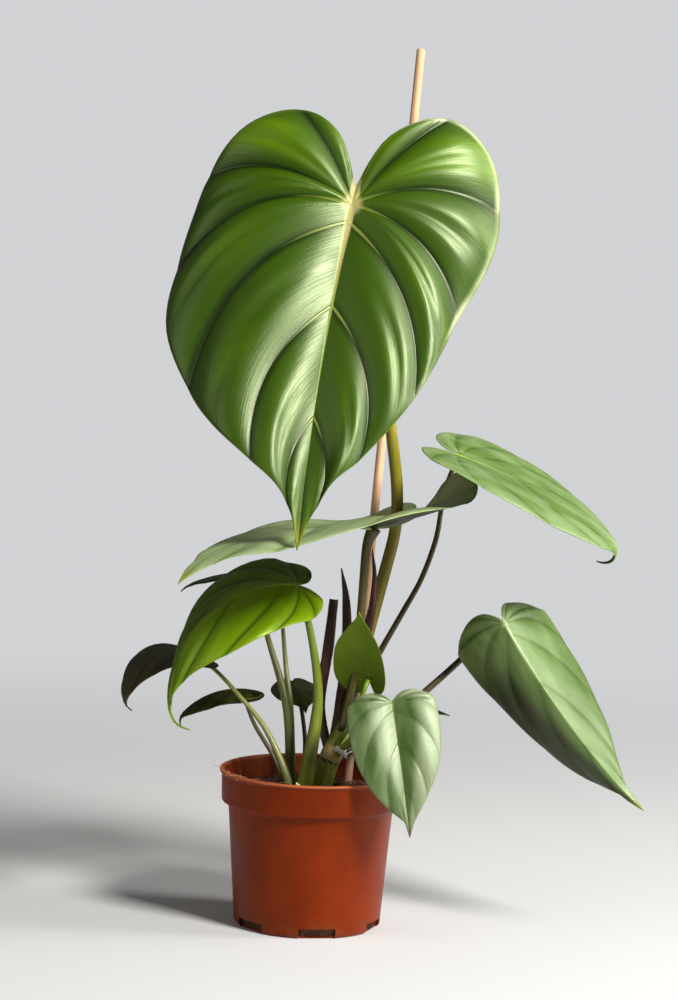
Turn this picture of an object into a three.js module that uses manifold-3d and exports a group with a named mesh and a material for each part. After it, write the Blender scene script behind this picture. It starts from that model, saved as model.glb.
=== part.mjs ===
// A philodendron in its nursery pot: heart-shaped quilted leaves on petioles, a short leaning stem,
// papery sheaths, a wooden stake, soil, and a moulded plastic pot with drainage notches.
// Millimetres, +Z up. The origin is the middle of the pot's underside; -Y is the front.
import * as THREE from 'three';
import { mergeVertices } from 'three/addons/utils/BufferGeometryUtils.js';
import Module from 'manifold-3d';

// Pot
const POT_HEIGHT = 76;
const RIM_RADIUS = 45;
const COLLAR_RADIUS = 43.6;
const COLLAR_HEIGHT = 15.5;
const BODY_TOP_RADIUS = 40.4;
const BASE_RADIUS = 35.8;
const POT_WALL = 1.2;
const LIP_HEIGHT = 1.2;
const CHAMFER_HEIGHT = 2.2;
const POT_FACETS = 40;
const NOTCH_COUNT = 6;
const NOTCH_WIDTH = 18;
const NOTCH_HEIGHT = 5;
const NOTCH_DEPTH = 6;
const FIRST_NOTCH_ANGLE = THREE.MathUtils.degToRad(-81);

// Soil
const SOIL_TOP = 65;
const SOIL_MOUND = 2.5;
const SOIL_ROUGHNESS = 0.8;
const SOIL_FACETS = 28;
const SOIL_RINGS = 4;

// Stake, with its ends on one straight line
const STAKE_RADIUS = 2.15;
const STAKE_FOOT = [14.6, 19.3, 16];
const STAKE_TOP = [41, 57, 430];

// Clearance between pieces that touch, and the blades' thickness
const GAP = 0.3;
const BLADE_GAP = 0.45;
const BLADE_THICKNESS = 0.7;

// Side veins: how many a side, the share of the outline whose veins start at the petiole, how far
// a vein turns outward before it sweeps to the margin, and where along it that bend lies.
const VEINS_PER_SIDE = 7;
const POLE_VEINS = 0.52;
const VEIN_SPACING = 1.33;
const VEIN_TURN = THREE.MathUtils.degToRad(28);
const VEIN_BEND = 0.58;

// Shares of the midrib's length: where the hook at the tip begins, how far the lobes reach back,
// the widest place's distance from the midrib, and the reach of a vein with full quilting.
const HOOK_FROM = 0.8;
const LOBE_REACH = 0.28;
const WIDEST = 0.45;
const FULL_VEIN = 0.42;
const RIB_STEPS = 60;
const LOBE_STEPS = 24;

const COLORS = {
  pot: 0xa9512a,
  soil: 0x2e1f14,
  stem: 0x9fb35c,
  olive: 0x8a8a34,
  brown: 0x5b4325,
  sheath: 0x4a2222,
  root: 0xe2d8c8,
  wood: 0xd8b48c,
  deepGreen: 0x3f7d22,
  brightGreen: 0x8fb527,
  paleGreen: 0x9dbb86,
  darkOlive: 0x4a5320,
};

// Half of a leaf's outline, from the notch at the petiole round to the tip, as a share of the
// midrib's length: along the midrib, then across it.
const OUTLINE = [[-0.04, 0], [-0.26, 0.14], [-0.18, 0.35], [0.08, 0.455], [0.45, 0.4], [0.72, 0.22],
  [0.88, 0.075], [1, 0]];
const BIG_LEFT = [[-0.05, 0], [-0.2, 0.08], [-0.25, 0.2], [-0.18, 0.34], [-0.03, 0.445], [0.09, 0.475],
  [0.24, 0.485], [0.42, 0.465], [0.58, 0.375], [0.69, 0.27], [0.78, 0.155], [0.84, 0.075],
  [0.88, 0.04], [0.935, 0.018], [1, 0]];
const BIG_RIGHT = [[-0.06, 0], [-0.22, 0.07], [-0.31, 0.22], [-0.24, 0.36], [-0.08, 0.425],
  [0.1, 0.415], [0.27, 0.365], [0.41, 0.315], [0.54, 0.265], [0.65, 0.205], [0.74, 0.14],
  [0.81, 0.085], [0.88, 0.045], [0.935, 0.018], [1, 0]];
// Broad to near the tip, then a thread-like end.
const BROAD = [[-0.04, 0], [-0.17, 0.05], [-0.26, 0.16], [-0.23, 0.29], [-0.08, 0.41], [0.1, 0.455],
  [0.3, 0.45], [0.48, 0.4], [0.64, 0.31], [0.77, 0.19], [0.86, 0.07], [0.9, 0.025], [0.95, 0.013],
  [1, 0]];
const TAILED = [[-0.04, 0], [-0.14, 0.05], [-0.2, 0.14], [-0.16, 0.23], [-0.04, 0.3], [0.12, 0.36],
  [0.3, 0.39], [0.45, 0.36], [0.58, 0.26], [0.68, 0.145], [0.77, 0.06], [0.85, 0.024], [0.93, 0.013],
  [1, 0]];
const HANGING_LEFT = [[-0.04, 0], [-0.2, 0.1], [-0.27, 0.24], [-0.2, 0.38], [-0.03, 0.46], [0.15, 0.44],
  [0.32, 0.37], [0.48, 0.31], [0.63, 0.24], [0.76, 0.15], [0.84, 0.07], [0.89, 0.035], [0.94, 0.02],
  [1, 0]];
const HANGING_RIGHT = [[-0.04, 0], [-0.17, 0.05], [-0.25, 0.15], [-0.22, 0.29], [-0.08, 0.42],
  [0.1, 0.48], [0.28, 0.47], [0.45, 0.39], [0.6, 0.29], [0.73, 0.17], [0.82, 0.08], [0.88, 0.035],
  [0.94, 0.02], [1, 0]];

// Each leaf: where its petiole meets it, its tip, and the way its upper face looks. Angles are in
// degrees. arch is how far the midrib bends down towards the tip, hook adds to that at the tip, and
// drop bends the lobes behind the petiole. Each half has its width against the outline, its fold
// at the petiole and at the tip (plus is down), the curl of its margin and the rise of its lobe.
const half = (width, foldPole, foldTip, curl, rise = 0) => ({ width, foldPole, foldTip, curl, rise });
const LEAVES = [
  { name: 'leaf_01', pole: [9.4, -38, 350.5], tip: [-9.7, -101, 193.9], normal: [0, -0.94, 0.34],
    arch: -4, hook: 8, drop: 2, back: 0.965, sweep: 6, quilt: 0.022, wave: 0.012,
    right: half(0.985, -19, -19, 60), left: half(0.975, -19, -19, 60),
    rightOutline: BIG_RIGHT, leftOutline: BIG_LEFT, rows: 28, columns: 6, color: 'deepGreen' },
  { name: 'leaf_02', pole: [65.5, -22, 233.5], tip: [131.5, -30, 186.6], normal: [0.55, -0.32, 0.75],
    arch: 28, hook: 150, drop: -5, back: 0.62, sweep: 0, quilt: 0.012, wave: 0,
    right: half(0.84, -2, 8, 10), left: half(0.84, -12, 2, 10),
    rightOutline: BROAD, leftOutline: BROAD, rows: 16, columns: 4, color: 'paleGreen' },
  { name: 'leaf_03', pole: [25.8, -8, 196.3], tip: [-62.4, -108, 177.7], normal: [0, 0.04, 1],
    arch: 26, hook: 22, drop: -28, back: 1.3, sweep: 0, quilt: 0.012, wave: 0.006,
    right: half(0.92, -18, 4, 6, 0.25), left: half(0.6, -3, 16, 6), rows: 14, columns: 5,
    color: 'paleGreen' },
  { name: 'leaf_04', pole: [-31, 36, 168], tip: [-68, 20, 158.5], normal: [-0.1, 0, 1],
    arch: 20, hook: 20, drop: -20, back: 1, sweep: 0, quilt: 0.012, wave: 0,
    right: half(0.6, 4, 4, 10), left: half(0.6, 4, 4, 10), rows: 14, columns: 4,
    color: 'darkOlive' },
  { name: 'leaf_05', pole: [-10.9, -8, 167.3], tip: [-59.2, -20, 96.7], normal: [-0.65, -0.46, 0.56],
    arch: 122, hook: 50, drop: -10, back: 0.44, sweep: 0, quilt: 0.014, wave: 0,
    right: half(0.64, 28, 0, 12, 0.6), left: half(0.58, -12, 42, 12, 0.3),
    rightOutline: TAILED, leftOutline: BROAD, rows: 16, columns: 5, color: 'brightGreen' },
  { name: 'leaf_06', pole: [-64, 24, 128], tip: [-89.8, 18, 98.7], normal: [-0.65, -0.25, 0.7],
    arch: 125, hook: 40, drop: 0, back: 1, sweep: 0, quilt: 0.012, wave: 0,
    right: half(1.1, 0, 0, 8), left: half(0.9, 0, 0, 8), rows: 14, columns: 4,
    color: 'darkOlive' },
  { name: 'leaf_07', pole: [-36, 28, 110], tip: [-66.4, 30, 90], normal: [-0.4, -0.02, 0.9],
    arch: 60, hook: 50, drop: 0, back: 1, sweep: 0, quilt: 0.01, wave: 0,
    right: half(0.7, 10, 40, 15), left: half(0.7, 40, 40, 15), rows: 14, columns: 3,
    color: 'darkOlive' },
  { name: 'leaf_08', pole: [-11.4, 45, 111.8], tip: [-4, 15, 100.7], normal: [0, -0.45, 0.9],
    arch: 20, hook: 40, drop: 0, back: 1, sweep: 0, quilt: 0.01, wave: 0,
    right: half(0.8, 10, 10, 15), left: half(0.8, 10, 10, 15), rows: 14, columns: 3,
    color: 'darkOlive' },
  { name: 'leaf_09', pole: [26.1, -10, 123.1], tip: [19.9, -30, 158.1], normal: [0.35, 0.8, 0.45],
    arch: 10, hook: 0, drop: 0, back: 0.8, sweep: 0, quilt: 0.006, wave: 0,
    right: half(0.5, 5, 5, 10), left: half(0.92, 5, 5, 10), rows: 14, columns: 3,
    color: 'brightGreen' },
  { name: 'leaf_10', pole: [37.2, -30, 114.5], tip: [47.7, -50, 54.1], normal: [0.05, -0.9, 0.4],
    arch: 20, hook: 0, drop: 30, back: 0.32, sweep: 0, quilt: 0.014, wave: 0,
    right: half(0.74, -22, -22, 58), left: half(0.78, -22, -22, 58), leftOutline: BROAD, rows: 16, columns: 5,
    color: 'paleGreen' },
  { name: 'leaf_11', pole: [90.2, -15, 153], tip: [159.8, -30, 67.2], normal: [0.05, -0.95, 0.2],
    arch: 18, hook: -25, drop: 50, back: 0.5, sweep: 18, quilt: 0.014, wave: 0,
    right: half(0.74, 34, 30, 45, -0.6), left: half(0.67, 30, 44, 44),
    rightOutline: HANGING_RIGHT, leftOutline: HANGING_LEFT, rows: 16, columns: 5, color: 'paleGreen' },
  { name: 'leaf_12', pole: [52, 14, 107], tip: [67, 16, 102.2], normal: [0, -0.1, 1],
    arch: 10, hook: 0, drop: 0, back: 1, sweep: 0, quilt: 0.006, wave: 0,
    right: half(0.8, 5, 5, 10), left: half(0.8, 5, 5, 10), rows: 14, columns: 3,
    color: 'darkOlive' },
  { name: 'leaf_13', pole: [-19, 44, 157], tip: [-22, 92, 144], normal: [0, 0.2, 0.95],
    arch: 30, hook: 20, drop: 0, back: 1, sweep: 0, quilt: 0.012, wave: 0,
    right: half(0.8, 8, 8, 10), left: half(0.8, 8, 8, 10), rows: 14, columns: 4,
    color: 'paleGreen' },
];

// The routes of the stem, petioles and sheaths: points x, y, z and the radius there.
const MAIN_STEM = [[1, 0, 48, 4.6], [4.4, 0, 66, 5.2], [7.8, 0, 79.5, 5.2], [9.6, 0, 84, 5.5],
  [11, 0, 87.5, 5], [16.3, 0, 99, 4.4]];
const PETIOLES = [
  { name: 'petiole_01', color: 'olive', sides: 9, stops: [[15.2, 0, 95, 3.9], [19.1, 0, 116, 3.5],
    [24, 0, 140.5, 3.2], [31.6, 3, 172.5, 3], [36.2, 4, 194.5, 2.9], [36.4, 3, 214, 2.9],
    [32.8, -2, 240.5, 2.8], [23.9, -12, 296.5, 2.7], [16.7, -24, 332, 2.6], [9.5, -36.7, 349.9, 2.5]] },
  { name: 'petiole_03', color: 'brown', sides: 8, stops: [[13.8, -6.2, 96.5, 2], [19.2, -7.6, 127, 1.9],
    [20.9, -8, 158, 1.8], [22.3, -8, 185.5, 2], [25.8, -8, 196.3, 3]] },
  { name: 'petiole_05', color: 'stem', sides: 8, stops: [[-3.6, -7, 56, 3.9], [-2.7, -8, 73, 3.9],
    [1, -8, 100, 2.9], [1.6, -8, 117, 2.3], [-1.2, -9, 136, 1.9], [-5.5, -9, 153.5, 1.6],
    [-10.2, -8.2, 162, 1.6], [-11, -7.9, 166, 1.6]] },
  { name: 'petiole_02', color: 'brown', sides: 7, stops: [[13.2, 4, 91.5, 2], [21.6, 6, 114.5, 1.7],
    [31.2, 8, 134, 1.5], [41.7, 9, 154, 1.4], [50.1, 10, 170.5, 1.3], [56.4, 12, 189.5, 1.3],
    [58.6, 15, 204, 1.2], [61, 15, 217, 1.2], [64, 6, 227, 1.2], [65.5, -20, 233.5, 1.3]] },
  { name: 'petiole_11', color: 'brown', sides: 7, stops: [[15.7, 4, 88, 2.2], [35, 6, 98.2, 1.8],
    [51.7, 10, 112.6, 1.7], [69, 16, 128.2, 1.6], [80.3, 17, 140.4, 1.6], [87.5, 9, 148, 1.6],
    [89.8, -3, 151.4, 1.6], [90.1, -13.7, 152.8, 1.6]] },
  { name: 'petiole_06', color: 'stem', sides: 7, stops: [[-8.5, -5, 57, 2], [-11.7, -4, 71.5, 2],
    [-22.9, 2, 94, 1.4], [-36.5, 9, 109, 1.1], [-50.6, 17, 121.5, 1], [-64, 24, 128, 1.2]] },
  { name: 'petiole_07', color: 'brown', sides: 6, stops: [[-12, 5, 58, 1.3], [-14.8, 6, 70, 1.2],
    [-19.5, 9, 80.5, 1.1], [-29, 16, 94, 1], [-34, 23, 104, 0.9], [-36.1, 28, 108.7, 1]] },
  { name: 'petiole_08', color: 'brown', sides: 6, stops: [[-2.5, 11, 58, 1.4], [-3.8, 14, 70, 1.3],
    [-4.1, 22, 87, 1.1], [-7.3, 36, 103, 1], [-11.4, 45, 111.8, 1]] },
  { name: 'petiole_09', color: 'stem', sides: 6, stops: [[11.8, -4.2, 89.5, 1.5], [17, -10, 99, 1.3],
    [22, -13, 111, 1.2], [24.2, -13.6, 119, 1.1], [25.6, -11.2, 122.4, 1.1]] },
  { name: 'petiole_10', color: 'stem', sides: 7, stops: [[11.5, -3, 84, 1.9], [18.5, -12, 93.5, 1.6],
    [28, -20, 104.5, 1.4], [34.5, -24.5, 111.3, 1.4], [37.1, -28.7, 113.9, 1.4]] },
  { name: 'petiole_12', color: 'brown', sides: 6, stops: [[10.3, 2.2, 79.5, 1.4], [29, 13, 89.5, 1.1],
    [43, 15, 98.5, 1], [50.9, 14.2, 103.6, 1], [51.7, 14, 106, 1]] },
];

// Two leaves share one young shoot, so it is one forked piece.
const SIDE_SHOOT = {
  name: 'side_shoot', color: 'stem', sides: 7,
  left: [[-9.5, 4, 56, 2.4], [-10.1, 5, 70, 2.6], [-12.4, 6, 99, 2.3], [-16.5, 10, 116, 1.9],
    [-24, 18, 137, 1.4], [-29, 25, 153, 1.3], [-31, 36, 168, 1.3]],
  right: [[-9.5, 4, 56, 2.2], [-10.1, 5, 70, 2.2], [-11.6, 6, 103, 1.7], [-14.8, 14, 125, 1.2],
    [-17.5, 29, 145, 1], [-19, 44, 157, 1.1]],
};

// Papery sheaths, flat across: flat is their thickness against their width.
const SHEATHS = [
  { name: 'sheath_1', flat: 0.4, stops: [[11, 0, 92, 3.2], [13.4, 1, 115.5, 3.1], [14.6, 1.5, 140, 2.6],
    [13.6, 2, 160, 1.8], [10.8, 2, 175.2, 0.3]] },
  { name: 'sheath_2', flat: 0.4, stops: [[7.5, 3, 86, 2.6], [3.6, 7, 100, 2.8], [3, 8, 113, 2.8],
    [5.7, 8.5, 134, 2.7], [7.7, 8.5, 159, 2.1]] },
  { name: 'sheath_3', flat: 0.45, stops: [[15, -3, 99, 2.4], [20.6, -3, 124, 2.2], [25.4, -3, 148.5, 1.9],
    [27, -2.5, 170.5, 1.3], [25.4, -2, 185.5, 0.3]] },
];

const BUD = { name: 'basal_bud', color: 'stem', stops: [[-1.5, -15, 58, 2.2], [-4, -15.5, 66, 2.6],
  [-6, -16, 69.5, 1.9], [-7.2, -16.5, 72, 0.5]] };
const ROOT = { name: 'aerial_root', color: 'root', stops: [[10.4, -3, 86.6, 1.3], [12.6, -6.5, 87.6, 1.5],
  [15, -8.2, 86, 1.4], [16.4, -9, 84, 0.6]] };

const wasm = await Module();
wasm.setup();

const radians = THREE.MathUtils.degToRad;
const vector = (list) => new THREE.Vector3(list[0], list[1], list[2]);

function toSolid(geometry) {
  const bare = geometry.index ? geometry : geometry.clone();
  bare.deleteAttribute('normal');
  bare.deleteAttribute('uv');
  const merged = mergeVertices(bare, 1e-5);
  return new wasm.Manifold(new wasm.Mesh({
    numProp: 3,
    vertProperties: new Float32Array(merged.attributes.position.array),
    triVerts: new Uint32Array(merged.index.array),
  }));
}

function toGeometry(solid) {
  const mesh = solid.getMesh();
  const geometry = new THREE.BufferGeometry();
  geometry.setAttribute('position', new THREE.BufferAttribute(new Float32Array(mesh.vertProperties), 3));
  geometry.setIndex(new THREE.BufferAttribute(new Uint32Array(mesh.triVerts), 1));
  return geometry;
}

function indexedGeometry(points, faces) {
  const geometry = new THREE.BufferGeometry();
  const flat = points.flatMap((p) => [p.x, p.y, p.z]);
  geometry.setAttribute('position', new THREE.BufferAttribute(new Float32Array(flat), 3));
  geometry.setIndex(faces.flat());
  return geometry;
}

function largestPiece(solid) {
  const pieces = solid.decompose();
  return pieces.reduce((best, piece) => (piece.volume() > best.volume() ? piece : best));
}

// A closed tube along hand-placed stops. Its section is round, or flat from front to back.
function tubeSolid(stops, sides, grow = 0, flat = 1) {
  const route = new THREE.CatmullRomCurve3(stops.map(vector), false, 'catmullrom', 0.5);
  const girth = new THREE.CatmullRomCurve3(
    stops.map((stop) => new THREE.Vector3(stop[3], 0, 0)), false, 'catmullrom', 0.5);
  const steps = (stops.length - 1) * 2;
  const depthAxis = new THREE.Vector3(0, 1, 0);
  const points = [];
  const faces = [];
  for (let k = 0; k <= steps; k += 1) {
    const along = k / steps;
    const tangent = route.getTangent(along);
    const centre = route.getPoint(along);
    if (k === 0) centre.addScaledVector(tangent, -grow);
    if (k === steps) centre.addScaledVector(tangent, grow);
    const front = depthAxis.clone().addScaledVector(tangent, -depthAxis.dot(tangent)).normalize();
    const side = front.clone().cross(tangent);
    const radius = girth.getPoint(along).x;
    for (let n = 0; n < sides; n += 1) {
      const angle = (2 * Math.PI * n) / sides;
      points.push(centre.clone()
        .addScaledVector(side, Math.cos(angle) * (radius + grow))
        .addScaledVector(front, Math.sin(angle) * (radius * flat + grow)));
    }
  }
  for (let k = 0; k < steps; k += 1) {
    for (let n = 0; n < sides; n += 1) {
      const a = k * sides + n;
      const b = k * sides + ((n + 1) % sides);
      faces.push([a, b, b + sides], [a, b + sides, a + sides]);
    }
  }
  const last = steps * sides;
  for (let n = 1; n < sides - 1; n += 1) {
    faces.push([0, n + 1, n], [last, last + n, last + n + 1]);
  }
  return toSolid(indexedGeometry(points, faces));
}

// Where a side vein leaves the midrib: the lower ones all start at the petiole.
const veinStart = (a) => Math.max(0, (a - POLE_VEINS) / (1 - POLE_VEINS)) ** VEIN_SPACING;

// A point of the flat half leaf: a runs round the outline from notch to tip, b from rib to margin.
function flatPoint(margin, a, b) {
  const edge = margin.getPoint(a);
  const start = new THREE.Vector2(veinStart(a), 0);
  const chord = edge.clone().sub(start);
  const easing = THREE.MathUtils.smoothstep(a, 0, 0.43) * Math.min(1, 0.4 + 3 * (1 - a));
  const heading = Math.atan2(chord.y, chord.x) + VEIN_TURN * easing;
  const bend = new THREE.Vector2(Math.cos(heading), Math.sin(heading))
    .multiplyScalar(VEIN_BEND * chord.length())
    .add(start);
  return start.multiplyScalar((1 - b) ** 2)
    .addScaledVector(bend, 2 * b * (1 - b))
    .addScaledVector(edge, b * b);
}

// The leaf's midrib frame at s, in the leaf's own axes: x along the midrib, z up off the face.
function ribFrame(leaf, s) {
  const pitch = s >= 0
    ? radians(leaf.arch * s + leaf.hook * THREE.MathUtils.smoothstep(s, HOOK_FROM, 1))
    : radians(leaf.drop * s / LOBE_REACH);
  const yaw = radians(leaf.sweep * Math.max(0, s));
  const along = new THREE.Vector3(Math.cos(yaw), Math.sin(yaw), 0).multiplyScalar(Math.cos(pitch));
  along.z = -Math.sin(pitch);
  const across = new THREE.Vector3(-Math.sin(yaw), Math.cos(yaw), 0);
  return { along, across, up: along.clone().cross(across) };
}

function ribPoints(leaf, direction, count) {
  const points = [new THREE.Vector3()];
  for (let k = 0; k < count; k += 1) {
    const { along } = ribFrame(leaf, direction * (k + 0.5) / RIB_STEPS);
    points.push(points[k].clone().addScaledVector(along, direction / RIB_STEPS));
  }
  return points;
}

// Everything that places a leaf's flat plan in the plant.
function layLeaf(leaf) {
  const forward = ribPoints(leaf, 1, RIB_STEPS);
  const backward = ribPoints(leaf, -1, LOBE_STEPS);
  const chord = forward[RIB_STEPS];
  const pole = vector(leaf.pole);
  const span = vector(leaf.tip).sub(pole);
  const basis = (x, hint) => {
    const along = x.clone().normalize();
    const up = hint.clone().addScaledVector(along, -hint.dot(along)).normalize();
    return new THREE.Matrix4().makeBasis(along, up.clone().cross(along), up);
  };
  const own = basis(chord, new THREE.Vector3(0, 0, 1));
  const placed = basis(span, vector(leaf.normal)).multiply(own.transpose());
  return { ...leaf, forward, backward, length: span.length() / chord.length(), pole, placed,
    margins: {
      right: new THREE.SplineCurve((leaf.rightOutline ?? OUTLINE).map((p) => new THREE.Vector2(...p))),
      left: new THREE.SplineCurve((leaf.leftOutline ?? OUTLINE).map((p) => new THREE.Vector2(...p))),
    } };
}

function ribPoint(leaf, s) {
  const points = s >= 0 ? leaf.forward : leaf.backward;
  const place = Math.min(Math.abs(s) * RIB_STEPS, points.length - 1.000001);
  const index = Math.floor(place);
  return points[index].clone().lerp(points[index + 1], place - index);
}

// The middle of the blade's thickness at a, b on one side: +1 is right, -1 is left.
function bladePoint(leaf, side, a, b) {
  const shape = side > 0 ? leaf.right : leaf.left;
  const margin = side > 0 ? leaf.margins.right : leaf.margins.left;
  const flat = flatPoint(margin, a, b);
  const s = flat.x < 0 ? flat.x * leaf.back : flat.x;
  const t = flat.y * shape.width;
  const frame = ribFrame(leaf, s);
  const fold = radians(THREE.MathUtils.lerp(shape.foldPole, shape.foldTip, THREE.MathUtils.clamp(s, 0, 1)));
  const bend = radians(shape.curl) / WIDEST;
  const across = (Math.sin(fold + bend * t) - Math.sin(fold)) / bend;
  const down = (Math.cos(fold + bend * t) - Math.cos(fold)) / bend;
  const tilt = fold + bend * t;
  const edge = margin.getPoint(a);
  const reach = Math.min(1, Math.hypot(edge.x - veinStart(a), edge.y) / FULL_VEIN);
  // The quilting swells between veins, from nothing at the midrib back to little at the margin.
  const swell = 2.3 * b * Math.sqrt(1.03 - b) * reach;
  const ends = Math.min(1, 4 * a, 4 * (1 - a));
  const ripple = Math.sin(2 * Math.PI * (4 * a + (side > 0 ? 0 : 0.37)));
  const relief = leaf.quilt * Math.abs(Math.sin(VEINS_PER_SIDE * Math.PI * a)) * swell
    + leaf.wave * b ** 3 * ripple * ends;
  const lift = s < 0 ? (shape.rise * s * s / LOBE_REACH) * Math.min(1, 10 * t) : 0;
  return ribPoint(leaf, s)
    .addScaledVector(frame.across, side * (across + Math.sin(tilt) * relief))
    .addScaledVector(frame.up, down + lift + Math.cos(tilt) * relief)
    .multiplyScalar(leaf.length)
    .applyMatrix4(leaf.placed)
    .add(leaf.pole);
}

// The blade as a closed sheet, cut into the same triangles on both faces.
function bladeSolid(leaf, grow = 0) {
  const middle = [];
  const seen = new Map();
  const vertex = (side, i, j) => {
    const a = i / leaf.rows;
    let key = `${side} ${i} ${j}`;
    if (i === leaf.rows) key = 'tip';
    else if (j === 0) key = veinStart(a) === 0 ? 'pole' : `rib ${i}`;
    else if (i === 0) key = `notch ${j}`;
    if (!seen.has(key)) {
      seen.set(key, middle.length);
      middle.push(bladePoint(leaf, side, a, key === 'tip' ? 1 : j / leaf.columns));
    }
    return seen.get(key);
  };
  const faces = [];
  const rim = [];
  for (const side of [1, -1]) {
    for (let i = 0; i < leaf.rows; i += 1) {
      for (let j = 0; j < leaf.columns; j += 1) {
        const corners = [[i, j], [i + 1, j], [i + 1, j + 1], [i, j + 1]].map((at) => vertex(side, ...at));
        if (side < 0) corners.reverse();
        const [p, q, r, s] = corners;
        for (const face of side > 0 ? [[p, q, r], [p, r, s]] : [[p, q, s], [q, r, s]]) {
          if (new Set(face).size === 3) faces.push(face);
        }
      }
      const edge = [vertex(side, i, leaf.columns), vertex(side, i + 1, leaf.columns)];
      rim.push(side > 0 ? edge : edge.reverse());
    }
  }
  const normals = middle.map(() => new THREE.Vector3());
  for (const face of faces) {
    const [p, q, r] = face.map((index) => middle[index]);
    const normal = q.clone().sub(p).cross(r.clone().sub(p));
    face.forEach((index) => normals[index].add(normal));
  }
  const lift = BLADE_THICKNESS / 2 + grow;
  const top = middle.map((point, index) => point.clone().addScaledVector(normals[index].normalize(), lift));
  const bottom = middle.map((point, index) => point.clone().addScaledVector(normals[index], -lift));
  const count = middle.length;
  const all = faces.concat(faces.map(([p, q, r]) => [p + count, r + count, q + count]));
  for (const [p, q] of rim) {
    all.push([p, q, q + count], [p, q + count, p + count]);
  }
  return toSolid(indexedGeometry(top.concat(bottom), all));
}

function lathe(profile, facets) {
  const geometry = new THREE.LatheGeometry(profile.map(([r, z]) => new THREE.Vector2(r, z)), facets);
  geometry.rotateX(Math.PI / 2);
  return toSolid(geometry);
}

// The pot's outer radius at a height below the collar.
const bodyRadius = (z) => (
  THREE.MathUtils.mapLinear(z, 0, POT_HEIGHT - COLLAR_HEIGHT, BASE_RADIUS, BODY_TOP_RADIUS));

function makePot() {
  const collarFoot = POT_HEIGHT - COLLAR_HEIGHT;
  const bodyTop = collarFoot - CHAMFER_HEIGHT;
  const foot = 1.4;
  let pot = lathe([
    [0, 0], [BASE_RADIUS - foot, 0], [BASE_RADIUS, foot], [bodyRadius(bodyTop), bodyTop],
    [COLLAR_RADIUS, collarFoot], [COLLAR_RADIUS + 0.4, POT_HEIGHT - 2 * LIP_HEIGHT],
    [RIM_RADIUS, POT_HEIGHT - LIP_HEIGHT], [RIM_RADIUS, POT_HEIGHT - 0.3], [RIM_RADIUS - 0.4, POT_HEIGHT],
    [COLLAR_RADIUS - POT_WALL + 0.6, POT_HEIGHT], [COLLAR_RADIUS - POT_WALL, POT_HEIGHT - LIP_HEIGHT],
    [COLLAR_RADIUS - POT_WALL - 0.3, collarFoot - 0.5], [bodyRadius(bodyTop) - POT_WALL, bodyTop - 1],
    [bodyRadius(POT_WALL) - POT_WALL, POT_WALL], [0, POT_WALL],
  ], POT_FACETS);
  for (let k = 0; k < NOTCH_COUNT; k += 1) {
    const notch = new THREE.BoxGeometry(NOTCH_DEPTH, NOTCH_WIDTH, NOTCH_HEIGHT * 2);
    notch.translate(BASE_RADIUS, 0, 0);
    notch.rotateZ(FIRST_NOTCH_ANGLE + (2 * Math.PI * k) / NOTCH_COUNT);
    pot = pot.subtract(toSolid(notch));
  }
  return pot;
}

// Low crumbs and hollows in the soil, from a few crossing waves.
function soilHeight(x, y) {
  const mound = SOIL_MOUND * Math.exp(-((x - 4) ** 2 + y ** 2) / 500);
  const crumbs = Math.sin(x * 0.9 + 1.3) * Math.cos(y * 0.8) + Math.sin(x * 0.37 - y * 0.61 + 2);
  return SOIL_TOP + mound + SOIL_ROUGHNESS * crumbs * 0.5;
}

function makeSoil(cutters) {
  const collarFoot = POT_HEIGHT - COLLAR_HEIGHT;
  const bodyTop = collarFoot - CHAMFER_HEIGHT;
  const floor = POT_WALL + GAP;
  const inset = POT_WALL + 2 * GAP;
  const edge = COLLAR_RADIUS - inset - 0.4;
  const levels = [[bodyRadius(floor) - inset, floor], [bodyRadius(bodyTop) - inset, bodyTop - 1.5],
    [edge, collarFoot + 0.5]];
  const points = [new THREE.Vector3(0, 0, floor)];
  const rings = levels.length + SOIL_RINGS;
  for (let k = 0; k < rings; k += 1) {
    for (let n = 0; n < SOIL_FACETS; n += 1) {
      const angle = (2 * Math.PI * n) / SOIL_FACETS;
      const radius = k < levels.length ? levels[k][0] : edge * (1 - (k - levels.length) / SOIL_RINGS);
      const x = radius * Math.cos(angle);
      const y = radius * Math.sin(angle);
      points.push(new THREE.Vector3(x, y, k < levels.length ? levels[k][1] : soilHeight(x, y)));
    }
  }
  points.push(new THREE.Vector3(0, 0, soilHeight(0, 0)));
  const faces = [];
  for (let n = 0; n < SOIL_FACETS; n += 1) {
    const next = (n + 1) % SOIL_FACETS;
    faces.push([0, 1 + next, 1 + n]);
    for (let k = 0; k < rings - 1; k += 1) {
      const a = 1 + k * SOIL_FACETS + n;
      const b = 1 + k * SOIL_FACETS + next;
      faces.push([a, b, b + SOIL_FACETS], [a, b + SOIL_FACETS, a + SOIL_FACETS]);
    }
    const top = 1 + (rings - 1) * SOIL_FACETS;
    faces.push([top + n, top + next, points.length - 1]);
  }
  return cutters.reduce((soil, cutter) => soil.subtract(cutter), toSolid(indexedGeometry(points, faces)));
}

// The stake, 12-sided, grown by a clearance for its hole.
function makeStake(grow = 0) {
  const foot = vector(STAKE_FOOT);
  const top = vector(STAKE_TOP);
  const length = foot.distanceTo(top) + 2 * grow;
  const rod = new THREE.CylinderGeometry(STAKE_RADIUS + grow, STAKE_RADIUS + grow, length, 12);
  const turn = new THREE.Quaternion().setFromUnitVectors(
    new THREE.Vector3(0, 1, 0), top.clone().sub(foot).normalize());
  rod.applyQuaternion(turn);
  const middle = foot.clone().add(top).multiplyScalar(0.5);
  rod.translate(middle.x, middle.y, middle.z);
  return toSolid(rod);
}

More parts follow.
